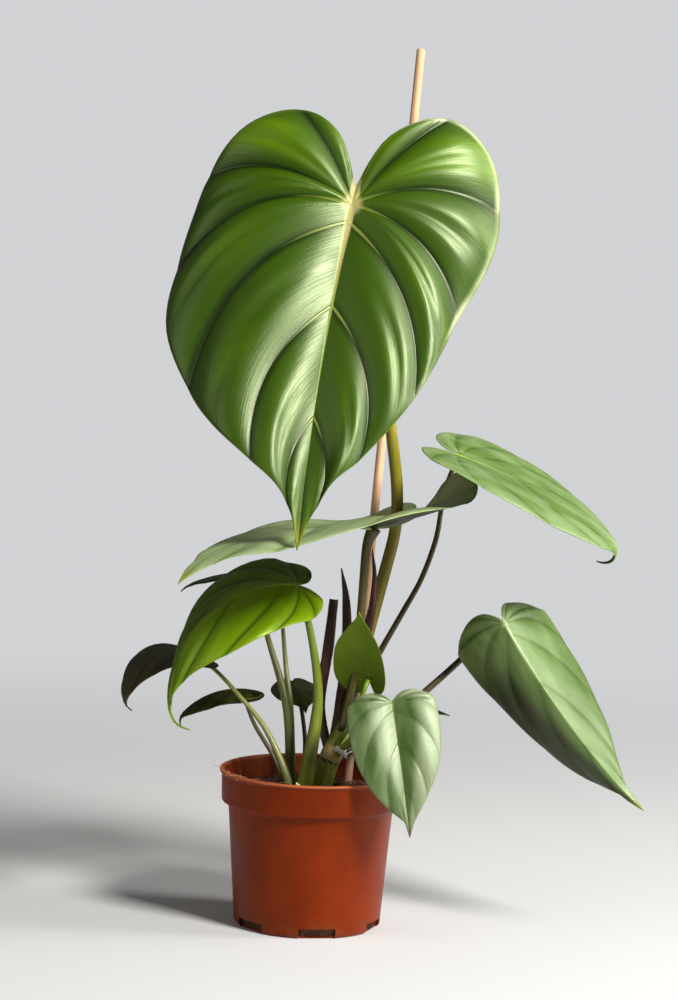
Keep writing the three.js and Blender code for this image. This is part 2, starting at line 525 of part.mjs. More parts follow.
const part = new THREE.Group();
function addPiece(name, solid, color, roughness) {
  const material = new THREE.MeshStandardMaterial({ color: COLORS[color], roughness, metalness: 0 });
  const mesh = new THREE.Mesh(toGeometry(solid), material);
  mesh.name = name;
  part.add(mesh);
}

addPiece('nursery_pot', makePot(), 'pot', 0.4);

const leaves = LEAVES.map(layLeaf);
const bladeCutters = [];
for (const leaf of leaves) {
  const blade = bladeSolid(leaf);
  bladeCutters.push(blade, bladeSolid(leaf, BLADE_GAP));
  addPiece(`${leaf.name}_blade`, blade, leaf.color, 0.35);
}

// What is placed first stays whole, and each later piece is cut clear of it.
const grown = [];
function addStem(name, make, color, roughness) {
  let solid = make(0);
  for (const cutter of [...bladeCutters, ...grown]) solid = solid.subtract(cutter);
  grown.push(make(GAP));
  addPiece(name, largestPiece(solid), color, roughness);
}

addStem('support_stake', makeStake, 'wood', 0.7);
addStem('main_stem', (grow) => tubeSolid(MAIN_STEM, 12, grow), 'stem', 0.5);
for (const { name, color, sides, stops } of PETIOLES) {
  addStem(name, (grow) => tubeSolid(stops, sides, grow), color, 0.45);
}
addStem(SIDE_SHOOT.name, (grow) => tubeSolid(SIDE_SHOOT.left, SIDE_SHOOT.sides, grow)
  .add(tubeSolid(SIDE_SHOOT.right, SIDE_SHOOT.sides, grow)), SIDE_SHOOT.color, 0.45);
for (const { name, flat, stops } of SHEATHS) {
  addStem(name, (grow) => tubeSolid(stops, 8, grow, flat), 'sheath', 0.5);
}
for (const { name, color, stops } of [BUD, ROOT]) {
  addStem(name, (grow) => tubeSolid(stops, 8, grow), color, 0.6);
}
addPiece('potting_soil', makeSoil(grown), 'soil', 0.95);

export default part;
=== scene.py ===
"""Looks of a potted philodendron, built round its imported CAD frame.

Lengths in the tables are millimetres in the frame's axes: +Z up, -Y towards the viewer. Angles are degrees.
Each leaf is laid out as in the CAD, with finer rows, veins and a thinner blade.
"""
import math

import bmesh
import bpy
import numpy as np
from mathutils import Matrix, Vector


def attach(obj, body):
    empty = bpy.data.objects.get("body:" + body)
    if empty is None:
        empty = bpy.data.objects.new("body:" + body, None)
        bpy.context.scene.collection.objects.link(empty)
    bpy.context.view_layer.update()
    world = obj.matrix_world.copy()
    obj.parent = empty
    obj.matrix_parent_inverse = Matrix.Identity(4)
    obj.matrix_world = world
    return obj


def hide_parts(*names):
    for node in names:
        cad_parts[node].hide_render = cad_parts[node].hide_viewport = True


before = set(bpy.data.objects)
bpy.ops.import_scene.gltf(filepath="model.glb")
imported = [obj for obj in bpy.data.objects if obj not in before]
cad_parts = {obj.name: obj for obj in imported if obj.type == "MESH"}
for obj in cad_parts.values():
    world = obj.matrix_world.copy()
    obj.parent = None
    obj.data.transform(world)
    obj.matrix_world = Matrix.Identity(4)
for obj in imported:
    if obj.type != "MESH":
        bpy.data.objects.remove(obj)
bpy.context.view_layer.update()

MM = 0.001
BODY = "root"

# Camera: its place, how far it looks down and rolls, and its focal length in pixels of a
# 1000-pixel-high picture.
CAMERA_PLACE = (8.4, -1400.0, 333.5)
CAMERA_PITCH = 5.1
CAMERA_ROLL = 2.1
CAMERA_FOCAL = 2900.0
PICTURE_HEIGHT = 1000.0
SENSOR = 36.0

# Pot
POT_HEIGHT = 76.0
RIM_RADIUS = 45.0
COLLAR_RADIUS = 43.6
COLLAR_HEIGHT = 15.5
COLLAR_FOOT = POT_HEIGHT - COLLAR_HEIGHT
BODY_TOP_RADIUS = 40.4
BASE_RADIUS = 35.8
POT_WALL = 1.2
LIP_HEIGHT = 1.2
CHAMFER_HEIGHT = 2.2
BODY_TOP = COLLAR_FOOT - CHAMFER_HEIGHT
POT_ROUNDING = 0.55
FOOT_CHAMFER = 1.4
SHARP_ANGLE = 32
POT_SEGMENTS = 160
NOTCH_COUNT = 6
NOTCH_SIZE = (6.0, 18.0, 10.0)
NOTCH_ROUNDING = 0.9
FIRST_NOTCH_ANGLE = -81.0

# Soil, with its crumbs and the strands of coir that lie on it and over the rim. Crumb and strand
# sizes are ranges.
SOIL_TOP = 65.0
SOIL_MOUND = 2.5
SOIL_MOUND_AT = 4
SOIL_MOUND_SPREAD = 500
SOIL_SEED = 21
SOIL_FOOT = 1.5
SOIL_GAP = 0.6
SOIL_RINGS = 44
SOIL_SEGMENTS = 120

# Waves in the soil's top: height and width in millimetres, and seed
SOIL_WAVES = ((.45, 3.2, 11), (.3, 1.1, 12), (.15, .5, 13))

CRUMBS = 620
CRUMB_SIZE = (.35, 1.45)
CRUMB_STRETCH = (1, 2.2)
CRUMB_UNEVENNESS = (.7, 1.15)
FIBRES = 150
FIBRE_LENGTH = (3, 13)
FIBRE_RADIUS = (.09, .2)
FIBRE_LIFT = (.2, 2.2)
FIBRE_BEND = (-.9, .9)
RIM_FIBRES = 14
RIM_FIBRE_ANGLES = (188.0, 236.0)
RIM_FIBRE_SWEEP = (12, 34)
RIM_FIBRE_RADIUS = (.07, .13)

# Stake
STAKE_RADIUS = 2.15
STAKE_FOOT = (14.6, 19.3, 16.0)
STAKE_TOP = (41.0, 57.0, 430.0)
STAKE_STEPS = 60
STAKE_SIDES = 32
STAKE_UNEVENNESS = 0.012
STAKE_SEED = 4

# Stems and sheaths. Swells are shares of the radius, and a sheath's curl is half its turn, in radians.
RINGS_PER_STOP = 7
PETIOLE_SWELL = 0.18
SHOOT_SWELL = 0.15
STEM_ROUGHNESS = 0.4
ROOT_ROUGHNESS = 0.62
ROUNDED_RINGS = 3
SHEATH_THICKNESS = 0.24
SHEATH_STEPS = 60
SHEATH_COLUMNS = 14
SHEATH_CURL = 1.25
SHEATH_CURL_CHANGE = 0.25
SHEATH_RAGGEDNESS = 0.12
FIRST_SHEATH_SEED = 3

# Veins and blades, as shares of the midrib's length where no unit is given
VEINS = 7
POLE_VEINS = 0.52
VEIN_SPACING = 1.33
VEIN_TURN = 28.0
VEIN_BEND = 0.58
HOOK_FROM = 0.8
LOBE_REACH = 0.28
WIDEST = 0.45
FULL_VEIN = 0.42
RIB_STEPS = 60
LOBE_STEPS = 24
BLADE_THICKNESS = 0.5
MARGIN_THICKNESS = 0.2

OUTLINE = [(-.04, 0), (-.26, .14), (-.18, .35), (.08, .455), (.45, .4), (.72, .22), (.88, .075), (1, 0)]
BIG_LEFT = [
    (-.05, 0), (-.2, .08), (-.25, .2), (-.18, .34), (-.03, .445), (.09, .475), (.24, .485), (.42, .465),
    (.58, .375), (.69, .27), (.78, .155), (.84, .075), (.88, .04), (.935, .018), (1, 0),
]
BIG_RIGHT = [
    (-.06, 0), (-.22, .07), (-.31, .22), (-.24, .36), (-.08, .425), (.1, .415), (.27, .365), (.41, .315),
    (.54, .265), (.65, .205), (.74, .14), (.81, .085), (.88, .045), (.935, .018), (1, 0),
]
# Broad to near the tip, then a thread-like end
BROAD = [
    (-.04, 0), (-.17, .05), (-.26, .16), (-.23, .29), (-.08, .41), (.1, .455), (.3, .45), (.48, .4),
    (.64, .31), (.77, .19), (.86, .07), (.9, .025), (.95, .013), (1, 0),
]
TAILED = [
    (-.04, 0), (-.14, .05), (-.2, .14), (-.16, .23), (-.04, .3), (.12, .36), (.3, .39), (.45, .36),
    (.58, .26), (.68, .145), (.77, .06), (.85, .024), (.93, .013), (1, 0),
]
HANGING_LEFT = [
    (-.04, 0), (-.2, .1), (-.27, .24), (-.2, .38), (-.03, .46), (.15, .44), (.32, .37), (.48, .31),
    (.63, .24), (.76, .15), (.84, .07), (.89, .035), (.94, .02), (1, 0),
]
HANGING_RIGHT = [
    (-.04, 0), (-.17, .05), (-.25, .15), (-.22, .29), (-.08, .42), (.1, .48), (.28, .47), (.45, .39),
    (.6, .29), (.73, .17), (.82, .08), (.88, .035), (.94, .02), (1, 0),
]

# The highlights' tint on the pale leaves, and the colour of a rolled margin, 0-255, which is partly
# its own paler tone and partly a painted highlight
PALE_GLOSS = (.92, 1, .76)
PALE_EDGE_AND_HIGHLIGHT = (214, 222, 168)

# Where in the noise the patches of painted sheen are taken from
PATCH_LAYER = 8.3

PLAIN_LEAF = dict(
    arch=0, hook=0, drop=0, back=1, sweep=0, quilt=.01, wave=0, outlines=(OUTLINE, OUTLINE),
    panel_rows=8, columns=16, rib=1.6, groove=.25, crease=.75, dusk=(0, 0), dusk_from=(.45, .95),
    dusk_along=(-.4, -.3), pale_margin=(0, 0), gloss=(.88, 1, .5), silvery=None)


def leaf(name, pole, tip, normal, right, left, **rest):
    """One leaf. Each half is its width, fold at the petiole, fold at the tip, curl and lobe rise.

    arch, hook, drop and sweep bend the midrib: down, down at the tip, down in the lobes and aside.
    back stretches the lobes, quilt and wave are the heights of the panels and of the margin's
    ripple, and rib is the midrib's width. groove and crease say how deep a panel's own fold is and
    how dark the painted shade in the creases at the veins is.
    dusk says how much darker the right and the left half are painted towards the margin,
    as painted shade, from 0 to 1, and pale_margin how pale their rolled edges are,
    partly their own paler tone and partly a painted highlight. gloss is the tint of the highlights,
    and silvery says between which shares of the right and the left half's width the
    painted sheen fades in.
    """
    return dict(PLAIN_LEAF, name=name, pole=pole, tip=tip, normal=normal, halves={1: right, -1: left},
                **rest)


LEAVES = [
    leaf("leaf_01", (9.4, -38, 350.5), (-9.7, -101, 193.9), (0, -.94, .34), (.985, -19, -19, 60, 0),
         (.975, -19, -19, 60, 0), arch=-4, hook=8, drop=2, back=.965, sweep=6, quilt=.028, wave=.012,
         outlines=(BIG_RIGHT, BIG_LEFT), panel_rows=18, columns=34, rib=5.6, groove=.6, crease=.3,
         gloss=(.9, 1, .6), pale_margin=(.75, .05)),
    leaf("leaf_02", (65.5, -22, 233.5), (131.5, -30, 186.6), (.55, -.32, .75), (.84, -2, 8, 10, 0),
         (.84, -12, 2, 10, 0), arch=28, hook=150, drop=-5, back=.62, quilt=.012,
         outlines=(BROAD, BROAD), rib=1.4, crease=.15, gloss=PALE_GLOSS),
    leaf("leaf_03", (25.8, -8, 196.3), (-62.4, -108, 177.7), (0, .04, 1), (.92, -18, 4, 6, .25),
         (.6, -3, 16, 6, 0), arch=26, hook=22, drop=-28, back=1.3, quilt=.012, wave=.006,
         panel_rows=10, columns=20, rib=2.8, crease=.2, gloss=PALE_GLOSS),
    leaf("leaf_04", (-31, 36, 168), (-68, 20, 158.5), (-.1, 0, 1), (.6, 4, 4, 10, 0), (.6, 4, 4, 10, 0),
         arch=20, hook=20, drop=-20, quilt=.012),
    leaf("leaf_05", (-10.9, -8, 167.3), (-59.2, -20, 96.7), (-.65, -.46, .56), (.64, 28, 0, 12, .6),
         (.58, -12, 42, 12, .3), arch=122, hook=50, drop=-10, back=.44, quilt=.014,
         outlines=(TAILED, BROAD), panel_rows=10, columns=20, rib=2.2, crease=.35,
         dusk=(0, .6), dusk_from=(.05, .35)),
    leaf("leaf_06", (-64, 24, 128), (-89.8, 18, 98.7), (-.65, -.25, .7), (1.1, 0, 0, 8, 0),
         (.9, 0, 0, 8, 0), arch=125, hook=40, quilt=.012),
    leaf("leaf_07", (-36, 28, 110), (-66.4, 30, 90), (-.4, -.02, .9), (.7, 10, 40, 15, 0),
         (.7, 40, 40, 15, 0), arch=60, hook=50),
    leaf("leaf_08", (-11.4, 45, 111.8), (-4, 15, 100.7), (0, -.45, .9), (.8, 10, 10, 15, 0),
         (.8, 10, 10, 15, 0), arch=20, hook=40),
    leaf("leaf_09", (26.1, -10, 123.1), (19.9, -30, 158.1), (.35, .8, .45), (.5, 5, 5, 10, 0),
         (.92, 5, 5, 10, 0), arch=10, back=.8, quilt=.006, groove=.1, rib=1.1),
    leaf("leaf_10", (37.2, -30, 114.5), (47.7, -50, 54.1), (.05, -.9, .4), (.74, -22, -22, 58, 0),
         (.78, -22, -22, 58, 0), arch=20, drop=30, back=.32, quilt=.012, outlines=(OUTLINE, BROAD),
         panel_rows=10, columns=20, rib=1.8, crease=.15,
         gloss=PALE_GLOSS, silvery=((.3, .62), (.55, .25))),
    leaf("leaf_11", (90.2, -15, 153), (159.8, -30, 67.2), (.05, -.95, .2), (.74, 34, 30, 45, -.6),
         (.67, 30, 44, 44, 0), arch=18, hook=-25, drop=50, back=.5, sweep=18, quilt=.01,
         outlines=(HANGING_RIGHT, HANGING_LEFT), panel_rows=10, columns=20, rib=2.2, crease=.1,
         dusk=(.2, 1), dusk_from=(.08, .5), dusk_along=(.0, .3), gloss=PALE_GLOSS),
    leaf("leaf_12", (52, 14, 107), (67, 16, 102.2), (0, -.1, 1), (.8, 5, 5, 10, 0), (.8, 5, 5, 10, 0),
         arch=10, quilt=.006, groove=.1, rib=1),
    leaf("leaf_13", (-19, 44, 157), (-22, 92, 144), (0, .2, .95), (.8, 8, 8, 10, 0), (.8, 8, 8, 10, 0),
         arch=30, hook=20, quilt=.012),
]

# Routes of the stems: points x, y, z and the radius there.
STEMS = {
    "main_stem": [(1, 0, 48, 4.6), (4.4, 0, 66, 5.2), (7.8, 0, 79.5, 5.2), (9.6, 0, 84, 5.5),
                  (11, 0, 87.5, 5), (16.3, 0, 99, 4.4)],
    "petiole_01": [(15.2, 0, 95, 3.9), (19.1, 0, 116, 3.5), (24, 0, 140.5, 3.2), (31.6, 3, 172.5, 3),
                   (36.2, 4, 194.5, 2.9), (36.4, 3, 214, 2.9), (32.8, -2, 240.5, 2.8),
                   (23.9, -12, 296.5, 2.7), (16.7, -24, 332, 2.6), (9.5, -36.7, 349.9, 2.5)],
    "petiole_03": [(13.8, -6.2, 96.5, 2), (19.2, -7.6, 127, 1.9), (20.9, -8, 158, 1.8),
                   (22.3, -8, 185.5, 2), (25.8, -8, 196.3, 3)],
    "petiole_05": [(-3.6, -7, 56, 3.9), (-2.7, -8, 73, 3.9), (1, -8, 100, 2.9), (1.6, -8, 117, 2.3),
                   (-1.2, -9, 136, 1.9), (-5.5, -9, 153.5, 1.6), (-10.2, -8.2, 162, 1.6),
                   (-11, -7.9, 166, 1.6)],
    "petiole_02": [(13.2, 4, 91.5, 2), (21.6, 6, 114.5, 1.7), (31.2, 8, 134, 1.5), (41.7, 9, 154, 1.4),
                   (50.1, 10, 170.5, 1.3), (56.4, 12, 189.5, 1.3), (58.6, 15, 204, 1.2),
                   (61, 15, 217, 1.2), (64, 6, 227, 1.2), (65.5, -20, 233.5, 1.3)],
    "petiole_11": [(15.7, 4, 88, 2.2), (35, 6, 98.2, 1.8), (51.7, 10, 112.6, 1.7), (69, 16, 128.2, 1.6),
                   (80.3, 17, 140.4, 1.6), (87.5, 9, 148, 1.6), (89.8, -3, 151.4, 1.6),
                   (90.1, -13.7, 152.8, 1.6)],
    "petiole_06": [(-8.5, -5, 57, 2), (-11.7, -4, 71.5, 2), (-22.9, 2, 94, 1.4), (-36.5, 9, 109, 1.1),
                   (-50.6, 17, 121.5, 1), (-64, 24, 128, 1.2)],
    "petiole_07": [(-12, 5, 58, 1.3), (-14.8, 6, 70, 1.2), (-19.5, 9, 80.5, 1.1), (-29, 16, 94, 1),
                   (-34, 23, 104, .9), (-36.1, 28, 108.7, 1)],
    "petiole_08": [(-2.5, 11, 58, 1.4), (-3.8, 14, 70, 1.3), (-4.1, 22, 87, 1.1), (-7.3, 36, 103, 1),
                   (-11.4, 45, 111.8, 1)],
    "petiole_09": [(11.8, -4.2, 89.5, 1.5), (17, -10, 99, 1.3), (22, -13, 111, 1.2), (24.2, -13.6, 119, 1.1),
                   (25.6, -11.2, 122.4, 1.1)],
    "petiole_10": [(11.5, -3, 84, 1.9), (18.5, -12, 93.5, 1.6), (28, -20, 104.5, 1.4),
                   (34.5, -24.5, 111.3, 1.4), (37.1, -28.7, 113.9, 1.4)],
    "petiole_12": [(10.3, 2.2, 79.5, 1.4), (29, 13, 89.5, 1.1), (43, 15, 98.5, 1), (50.9, 14.2, 103.6, 1),
                   (51.7, 14, 106, 1)],
    "basal_bud": [(-1.5, -15, 58, 2.2), (-4, -15.5, 66, 2.6), (-6, -16, 69.5, 1.9), (-7.2, -16.5, 72, .5)],
    "aerial_root": [(10.4, -3, 86.6, 1.3), (12.6, -6.5, 87.6, 1.5), (15, -8.2, 86, 1.4),
                    (16.4, -9, 84, .6)],
}
SIDE_SHOOT = [
    [(-9.5, 4, 56, 2.4), (-10.1, 5, 70, 2.6), (-12.4, 6, 99, 2.3), (-16.5, 10, 116, 1.9),
     (-24, 18, 137, 1.4), (-29, 25, 153, 1.3), (-31, 36, 168, 1.3)],
    [(-9.5, 4, 56, 2.2), (-10.1, 5, 70, 2.2), (-11.6, 6, 103, 1.7), (-14.8, 14, 125, 1.2),
     (-17.5, 29, 145, 1), (-19, 44, 157, 1.1)],
]
SHEATHS = {
    "sheath_1": [(11, 0, 92, 3.2), (13.4, 1, 115.5, 3.1), (14.6, 1.5, 140, 2.6), (13.6, 2, 160, 1.8),
                 (10.8, 2, 175.2, .3)],
    "sheath_2": [(7.5, 3, 86, 2.6), (3.6, 7, 100, 2.8), (3, 8, 113, 2.8), (5.7, 8.5, 134, 2.7),
                 (7.7, 8.5, 159, 2.1)],
    "sheath_3": [(15, -3, 99, 2.4), (20.6, -3, 124, 2.2), (25.4, -3, 148.5, 1.9), (27, -2.5, 170.5, 1.3),
                 (25.4, -2, 185.5, .3)],
}

# Leaf colours, 0-255: valleys with painted shade, body, crests with a painted highlight, veins,
# midrib, drip tip, underside. Then how pale its patches of painted sheen are, from 0 to 1.
LEAF_COLOURS = {
    "leaf_01": ((18, 38, 0), (50, 78, 0), (86, 118, 0), (132, 146, 58), (180, 170, 108), (124, 126, 14),
                (92, 118, 40), 0),
    "leaf_02": ((72, 102, 34), (92, 122, 52), (140, 160, 108), (110, 142, 56), (168, 200, 56),
                (96, 70, 22), (84, 112, 46), .7),
    # leaf_03's underside is painted nearly black as painted shade, since it lies in the shadow of leaf_02
    "leaf_03": ((98, 122, 60), (136, 156, 96), (172, 186, 140), (144, 164, 96), (154, 174, 92),
                (150, 160, 60), (18, 36, 0), .6),
    "leaf_04": ((30, 42, 10), (46, 62, 16), (66, 82, 24), (84, 98, 36), (90, 98, 40), (84, 76, 22),
                (54, 66, 22), 0),
    "leaf_05": ((84, 114, 0), (120, 154, 0), (148, 180, 6), (136, 160, 24), (158, 178, 60), (128, 134, 20),
                (90, 124, 14), 0),
    "leaf_06": ((40, 34, 1), (58, 48, 2), (72, 62, 6), (78, 70, 12), (80, 72, 16), (70, 60, 16),
                (50, 50, 12), 0),
    "leaf_07": ((34, 36, 2), (50, 52, 4), (62, 66, 8), (70, 72, 14), (74, 74, 16), (66, 58, 16),
                (44, 50, 12), 0),
    "leaf_08": ((34, 36, 2), (50, 52, 4), (62, 64, 8), (70, 72, 14), (74, 74, 16), (60, 52, 16),
                (38, 46, 12), 0),
    "leaf_09": ((70, 96, 2), (84, 112, 2), (96, 122, 6), (96, 124, 2), (98, 124, 4), (150, 140, 40),
                (98, 126, 0), 0),
    "leaf_10": ((40, 64, 8), (54, 82, 14), (144, 154, 116), (80, 104, 38), (112, 130, 60),
                (112, 60, 30), (84, 108, 46), .8),
    "leaf_11": ((72, 98, 34), (88, 116, 48), (136, 154, 104), (106, 132, 62), (156, 174, 112),
                (120, 118, 10), (64, 92, 28), .5),
    "leaf_12": ((20, 28, 6), (34, 44, 12), (50, 60, 18), (66, 74, 28), (70, 76, 30), (66, 56, 20),
                (42, 50, 16), 0),
    "leaf_13": ((60, 96, 36), (98, 136, 66), (140, 166, 102), (134, 160, 76), (166, 182, 84),
                (120, 100, 36), (92, 116, 56), .25),
}

# Stem colours, 0-255: at the foot, at the top, and the fleck colour
STEM_COLOURS = {
    "main_stem": ((204, 204, 96), (170, 174, 76), (226, 222, 150)),
    "side_shoot": ((96, 104, 44), (144, 140, 84), (204, 198, 146)),
    "basal_bud": ((176, 166, 92), (214, 204, 140), (120, 96, 60)),
    "petiole_01": ((116, 100, 30), (178, 166, 40), (204, 194, 96)),
    "petiole_02": ((62, 42, 18), (92, 82, 30), (128, 110, 56)),
    "petiole_03": ((74, 66, 20), (84, 78, 26), (124, 108, 50)),
    "petiole_05": ((138, 142, 46), (104, 128, 18), (180, 184, 92)),
    "petiole_06": ((140, 138, 76), (140, 142, 70), (184, 176, 122)),
    "petiole_07": ((96, 86, 42), (74, 68, 26), (134, 118, 70)),
    "petiole_08": ((52, 38, 20), (44, 40, 16), (84, 70, 40)),
    "petiole_09": ((126, 138, 44), (112, 140, 26), (172, 176, 88)),
    "petiole_10": ((138, 146, 50), (142, 158, 60), (186, 188, 104)),
    "petiole_11": ((60, 40, 18), (84, 78, 26), (122, 104, 52)),
    "petiole_12": ((50, 34, 18), (46, 38, 18), (84, 70, 40)),
    "aerial_root": ((246, 240, 232), (236, 228, 214), (190, 172, 140)),
}

# The node band on the main stem: where it starts and ends along the stem, and its colour, 0-255
NODE_BAND = (34.5, 42.5, (232, 196, 126))

# Floor: its size and where it starts and ends to fade, in metres, and its colour, 0-255
FLOOR_RADIUS = 6.0
FLOOR_FADE = (.18, .95)
FLOOR_TONE = (214, 213, 210)

# Surroundings: their colour, how strongly they light the plant and how bright they look
BACKDROP = (.8, .81, .83)
BACKDROP_LIGHT = .1
BACKDROP_SEEN = .8

# Lights: place and target in metres, width, height and watts
LIGHTS = {
    "key": ((.98, -1, 1.2), (0, 0, .26), .42, .42, 46),
    "right_strip": ((1.25, -.1, .7), (0, 0, .28), .3, 1.2, 14),
    "left_fill": ((-1.2, -.7, .7), (0, 0, .2), .8, .8, 3),
}


def smoothstep(x, low, high):
    x = np.clip((x - low) / (high - low), 0, 1)
    return x * x * (3 - 2 * x)


def unit(v):
    return v / np.linalg.norm(v, axis=-1, keepdims=True)


def run_lengths(points):
    """How far along its line each point lies."""
    return np.concatenate([[0], np.cumsum(np.linalg.norm(np.diff(points, axis=0), axis=1))])


def wobble(rng, count):
    """A smooth random row of numbers between -1 and 1."""
    return np.convolve(rng.uniform(-1, 1, count + 4), np.ones(5) / 5, "valid")


def colour(levels):
    """0-255 picture levels as a linear colour."""
    share = [level / 255 for level in levels]
    return tuple(x / 12.92 if x <= .04045 else ((x + .055) / 1.055) ** 2.4 for x in share) + (1,)


def dimmed(levels, share):
    return tuple(level * share for level in levels)


# Curves and meshes


def spline(points, at, mirrored=True):
    """Uniform Catmull-Rom through points, at 0 to 1. Its ends are mirrored outward, or else repeated."""
    points = np.asarray(points, float)
    before, after = (2 * points[0] - points[1], 2 * points[-1] - points[-2]) if mirrored else points[[0, -1]]
    padded = np.vstack([before, points, after])
    place = np.asarray(at, float) * (len(points) - 1)
    index = np.minimum(place.astype(int), len(points) - 2)
    w = (place - index)[..., None]
    p0, p1, p2, p3 = (padded[index + k] for k in range(4))
    v0, v1 = (p2 - p0) / 2, (p3 - p1) / 2
    return (2 * p1 - 2 * p2 + v0 + v1) * w ** 3 + (3 * p2 - 3 * p1 - 2 * v0 - v1) * w ** 2 + v0 * w + p1


def new_piece(node, material, points, faces, maps=None):
    """The mesh that stands for a node. maps holds a pair of numbers per face corner for each UV map."""
    name = node.removesuffix("_blade")
    mesh = bpy.data.meshes.new(name + "_fine")
    mesh.from_pydata((np.asarray(points) * MM).tolist(), [], faces)
    for key, pairs in (maps or {}).items():
        layer = mesh.uv_layers.new(name=key)
        layer.uv.foreach_set("vector", np.asarray(pairs, np.float32).ravel())
    mesh.shade_smooth()
    mesh.materials.append(material)
    piece = bpy.data.objects.new(name + "_fine", mesh)
    bpy.context.scene.collection.objects.link(piece)
    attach(piece, BODY)
    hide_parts(node)
    return piece


class Shell:
    """Points and faces gathered for one piece, with two numbers per face corner in each UV map."""

    def __init__(self, *maps):
        self.points, self.faces, self.maps = [], [], {key: [] for key in maps}

    def add_points(self, points):
        start = sum(len(block) for block in self.points)
        self.points.append(np.asarray(points, float).reshape(-1, 3))
        return start

    def add_face(self, corners, values=()):
        """values holds, for each corner, a pair for each UV map."""
        self.faces.append(tuple(corners))
        for key, pairs in self.maps.items():
            pairs.extend(value[key] for value in values)

    def add_tube(self, centres, radii, side, front, flat=1, count=20, values=None):
        """Rings about centres, closed by flat ends. values(share, angle, radius, length) fills the maps."""
        angles = np.arange(count) * 2 * math.pi / count
        ring = (np.cos(angles)[None, :, None] * side[:, None] * radii[:, None, None]
                + np.sin(angles)[None, :, None] * front[:, None] * (radii * flat)[:, None, None])
        start = self.add_points(centres[:, None] + ring)
        lengths = run_lengths(centres)

        def value(k, n):
            return values(lengths[k] / lengths[-1], angles[n % count], radii[k], lengths[k])

        def add(spots):
            marks = [value(*spot) for spot in spots] if values else ()
            self.add_face([start + k * count + n % count for k, n in spots], marks)

        last = len(centres) - 1
        for k in range(last):
            for n in range(count):
                add([(k, n), (k, n + 1), (k + 1, n + 1), (k + 1, n)])
        add([(0, n) for n in reversed(range(count))])
        add([(last, n) for n in range(count)])

    def piece(self, node, material):
        return new_piece(node, material, np.vstack(self.points), self.faces, self.maps)


def circle(radius, height, segments):
    angles = np.arange(segments) * 2 * math.pi / segments
    return np.stack([radius * np.cos(angles), radius * np.sin(angles), np.full(segments, height)], 1)


def closed_stack(rings, bottom, top):
    """Points and faces of rings of points, lowest first, with an end point below and above them."""
    count = len(rings[0])
    ends = len(rings) * count
    faces = []
    for n in range(count):
        m = (n + 1) % count
        faces.append((ends, m, n))
        for low in range(0, ends - count, count):
            faces.append((low + n, low + m, low + count + m, low + count + n))
        faces.append((ends - count + n, ends - count + m, ends + 1))
    return np.vstack([*rings, [bottom, top]]), faces


def route(stops, steps, rounded=0):
    """Centres, radii and section axes along stops. rounded is how many rings round off the top end."""
    at = np.linspace(0, 1, steps + 1)
    stops = np.asarray(stops, float)
    centres = spline(stops[:, :3], at)
    radii = spline(stops[:, 3:], at)[:, 0]
    tangents = unit(np.gradient(centres, axis=0))
    if rounded:
        turns = np.arange(1, rounded + 1) / (rounded + .35) * math.pi / 2
        cap = centres[-1] + tangents[-1] * (np.sin(turns) * radii[-1] * .8)[:, None]
        centres, radii = np.vstack([centres, cap]), np.concatenate([radii, radii[-1] * np.cos(turns)])
        tangents = np.vstack([tangents, np.repeat(tangents[-1:], rounded, 0)])
    depth = np.array([0, 1.0, 0])
    front = unit(depth - tangents * (tangents @ depth)[:, None])
    return centres, radii, np.cross(front, tangents), front


# Leaf blades


def vein_start(a):
    return np.maximum(0, (a - POLE_VEINS) / (1 - POLE_VEINS)) ** VEIN_SPACING


def rib_axes(shape, s):
    """The midrib's own axes at s: along it, across it and up off the face."""
    forward = shape["arch"] * s + shape["hook"] * smoothstep(s, HOOK_FROM, 1)
    pitch = np.radians(np.where(s >= 0, forward, shape["drop"] * s / LOBE_REACH))
    yaw = np.radians(shape["sweep"] * np.maximum(0, s))
    along = np.stack([np.cos(yaw) * np.cos(pitch), np.sin(yaw) * np.cos(pitch), -np.sin(pitch)], -1)
    across = np.stack([-np.sin(yaw), np.cos(yaw), np.zeros_like(yaw)], -1)
    return along, across, np.cross(along, across)


def basis(x, hint):
    along = unit(np.asarray(x, float))
    up = unit(np.asarray(hint, float) - along * np.dot(hint, along))
    return np.stack([along, np.cross(up, along), up], 1)


def lay(shape):
    """Adds what places a leaf's flat plan in the plant."""
    middles = (np.arange(RIB_STEPS) + .5) / RIB_STEPS
    forward = np.cumsum(rib_axes(shape, middles)[0], 0) / RIB_STEPS
    backward = -np.cumsum(rib_axes(shape, -middles[:LOBE_STEPS])[0], 0) / RIB_STEPS
    shape["rib_at"] = np.arange(-LOBE_STEPS, RIB_STEPS + 1) / RIB_STEPS
    shape["rib_line"] = np.vstack([backward[::-1], np.zeros(3), forward])
    chord, span = forward[-1], np.subtract(shape["tip"], shape["pole"])
    shape["length"] = np.linalg.norm(span) / np.linalg.norm(chord)
    shape["placed"] = basis(span, shape["normal"]) @ basis(chord, (0, 0, 1)).T
    return shape


def rib_point(shape, s):
    return np.stack([np.interp(s, shape["rib_at"], shape["rib_line"][:, k]) for k in range(3)], -1)


def to_plant(shape, points):
    return points * shape["length"] @ shape["placed"].T + np.array(shape["pole"], float)


def flat_plan(margin, a, b):
    """A point of the flat half leaf: a runs round the outline from notch to tip, b from rib to margin."""
    edge = spline(margin, a, mirrored=False)
    start = np.stack([vein_start(a), np.zeros_like(a)], -1)
    chord = edge - start
    easing = smoothstep(a, 0, .43) * np.minimum(1, .4 + 3 * (1 - a))
    heading = np.arctan2(chord[..., 1], chord[..., 0]) + math.radians(VEIN_TURN) * easing
    reach = np.hypot(chord[..., 0], chord[..., 1])
    bend = start + VEIN_BEND * reach[..., None] * np.stack([np.cos(heading), np.sin(heading)], -1)
    b = b[..., None]
    return start * (1 - b) ** 2 + bend * 2 * b * (1 - b) + edge * b * b, reach


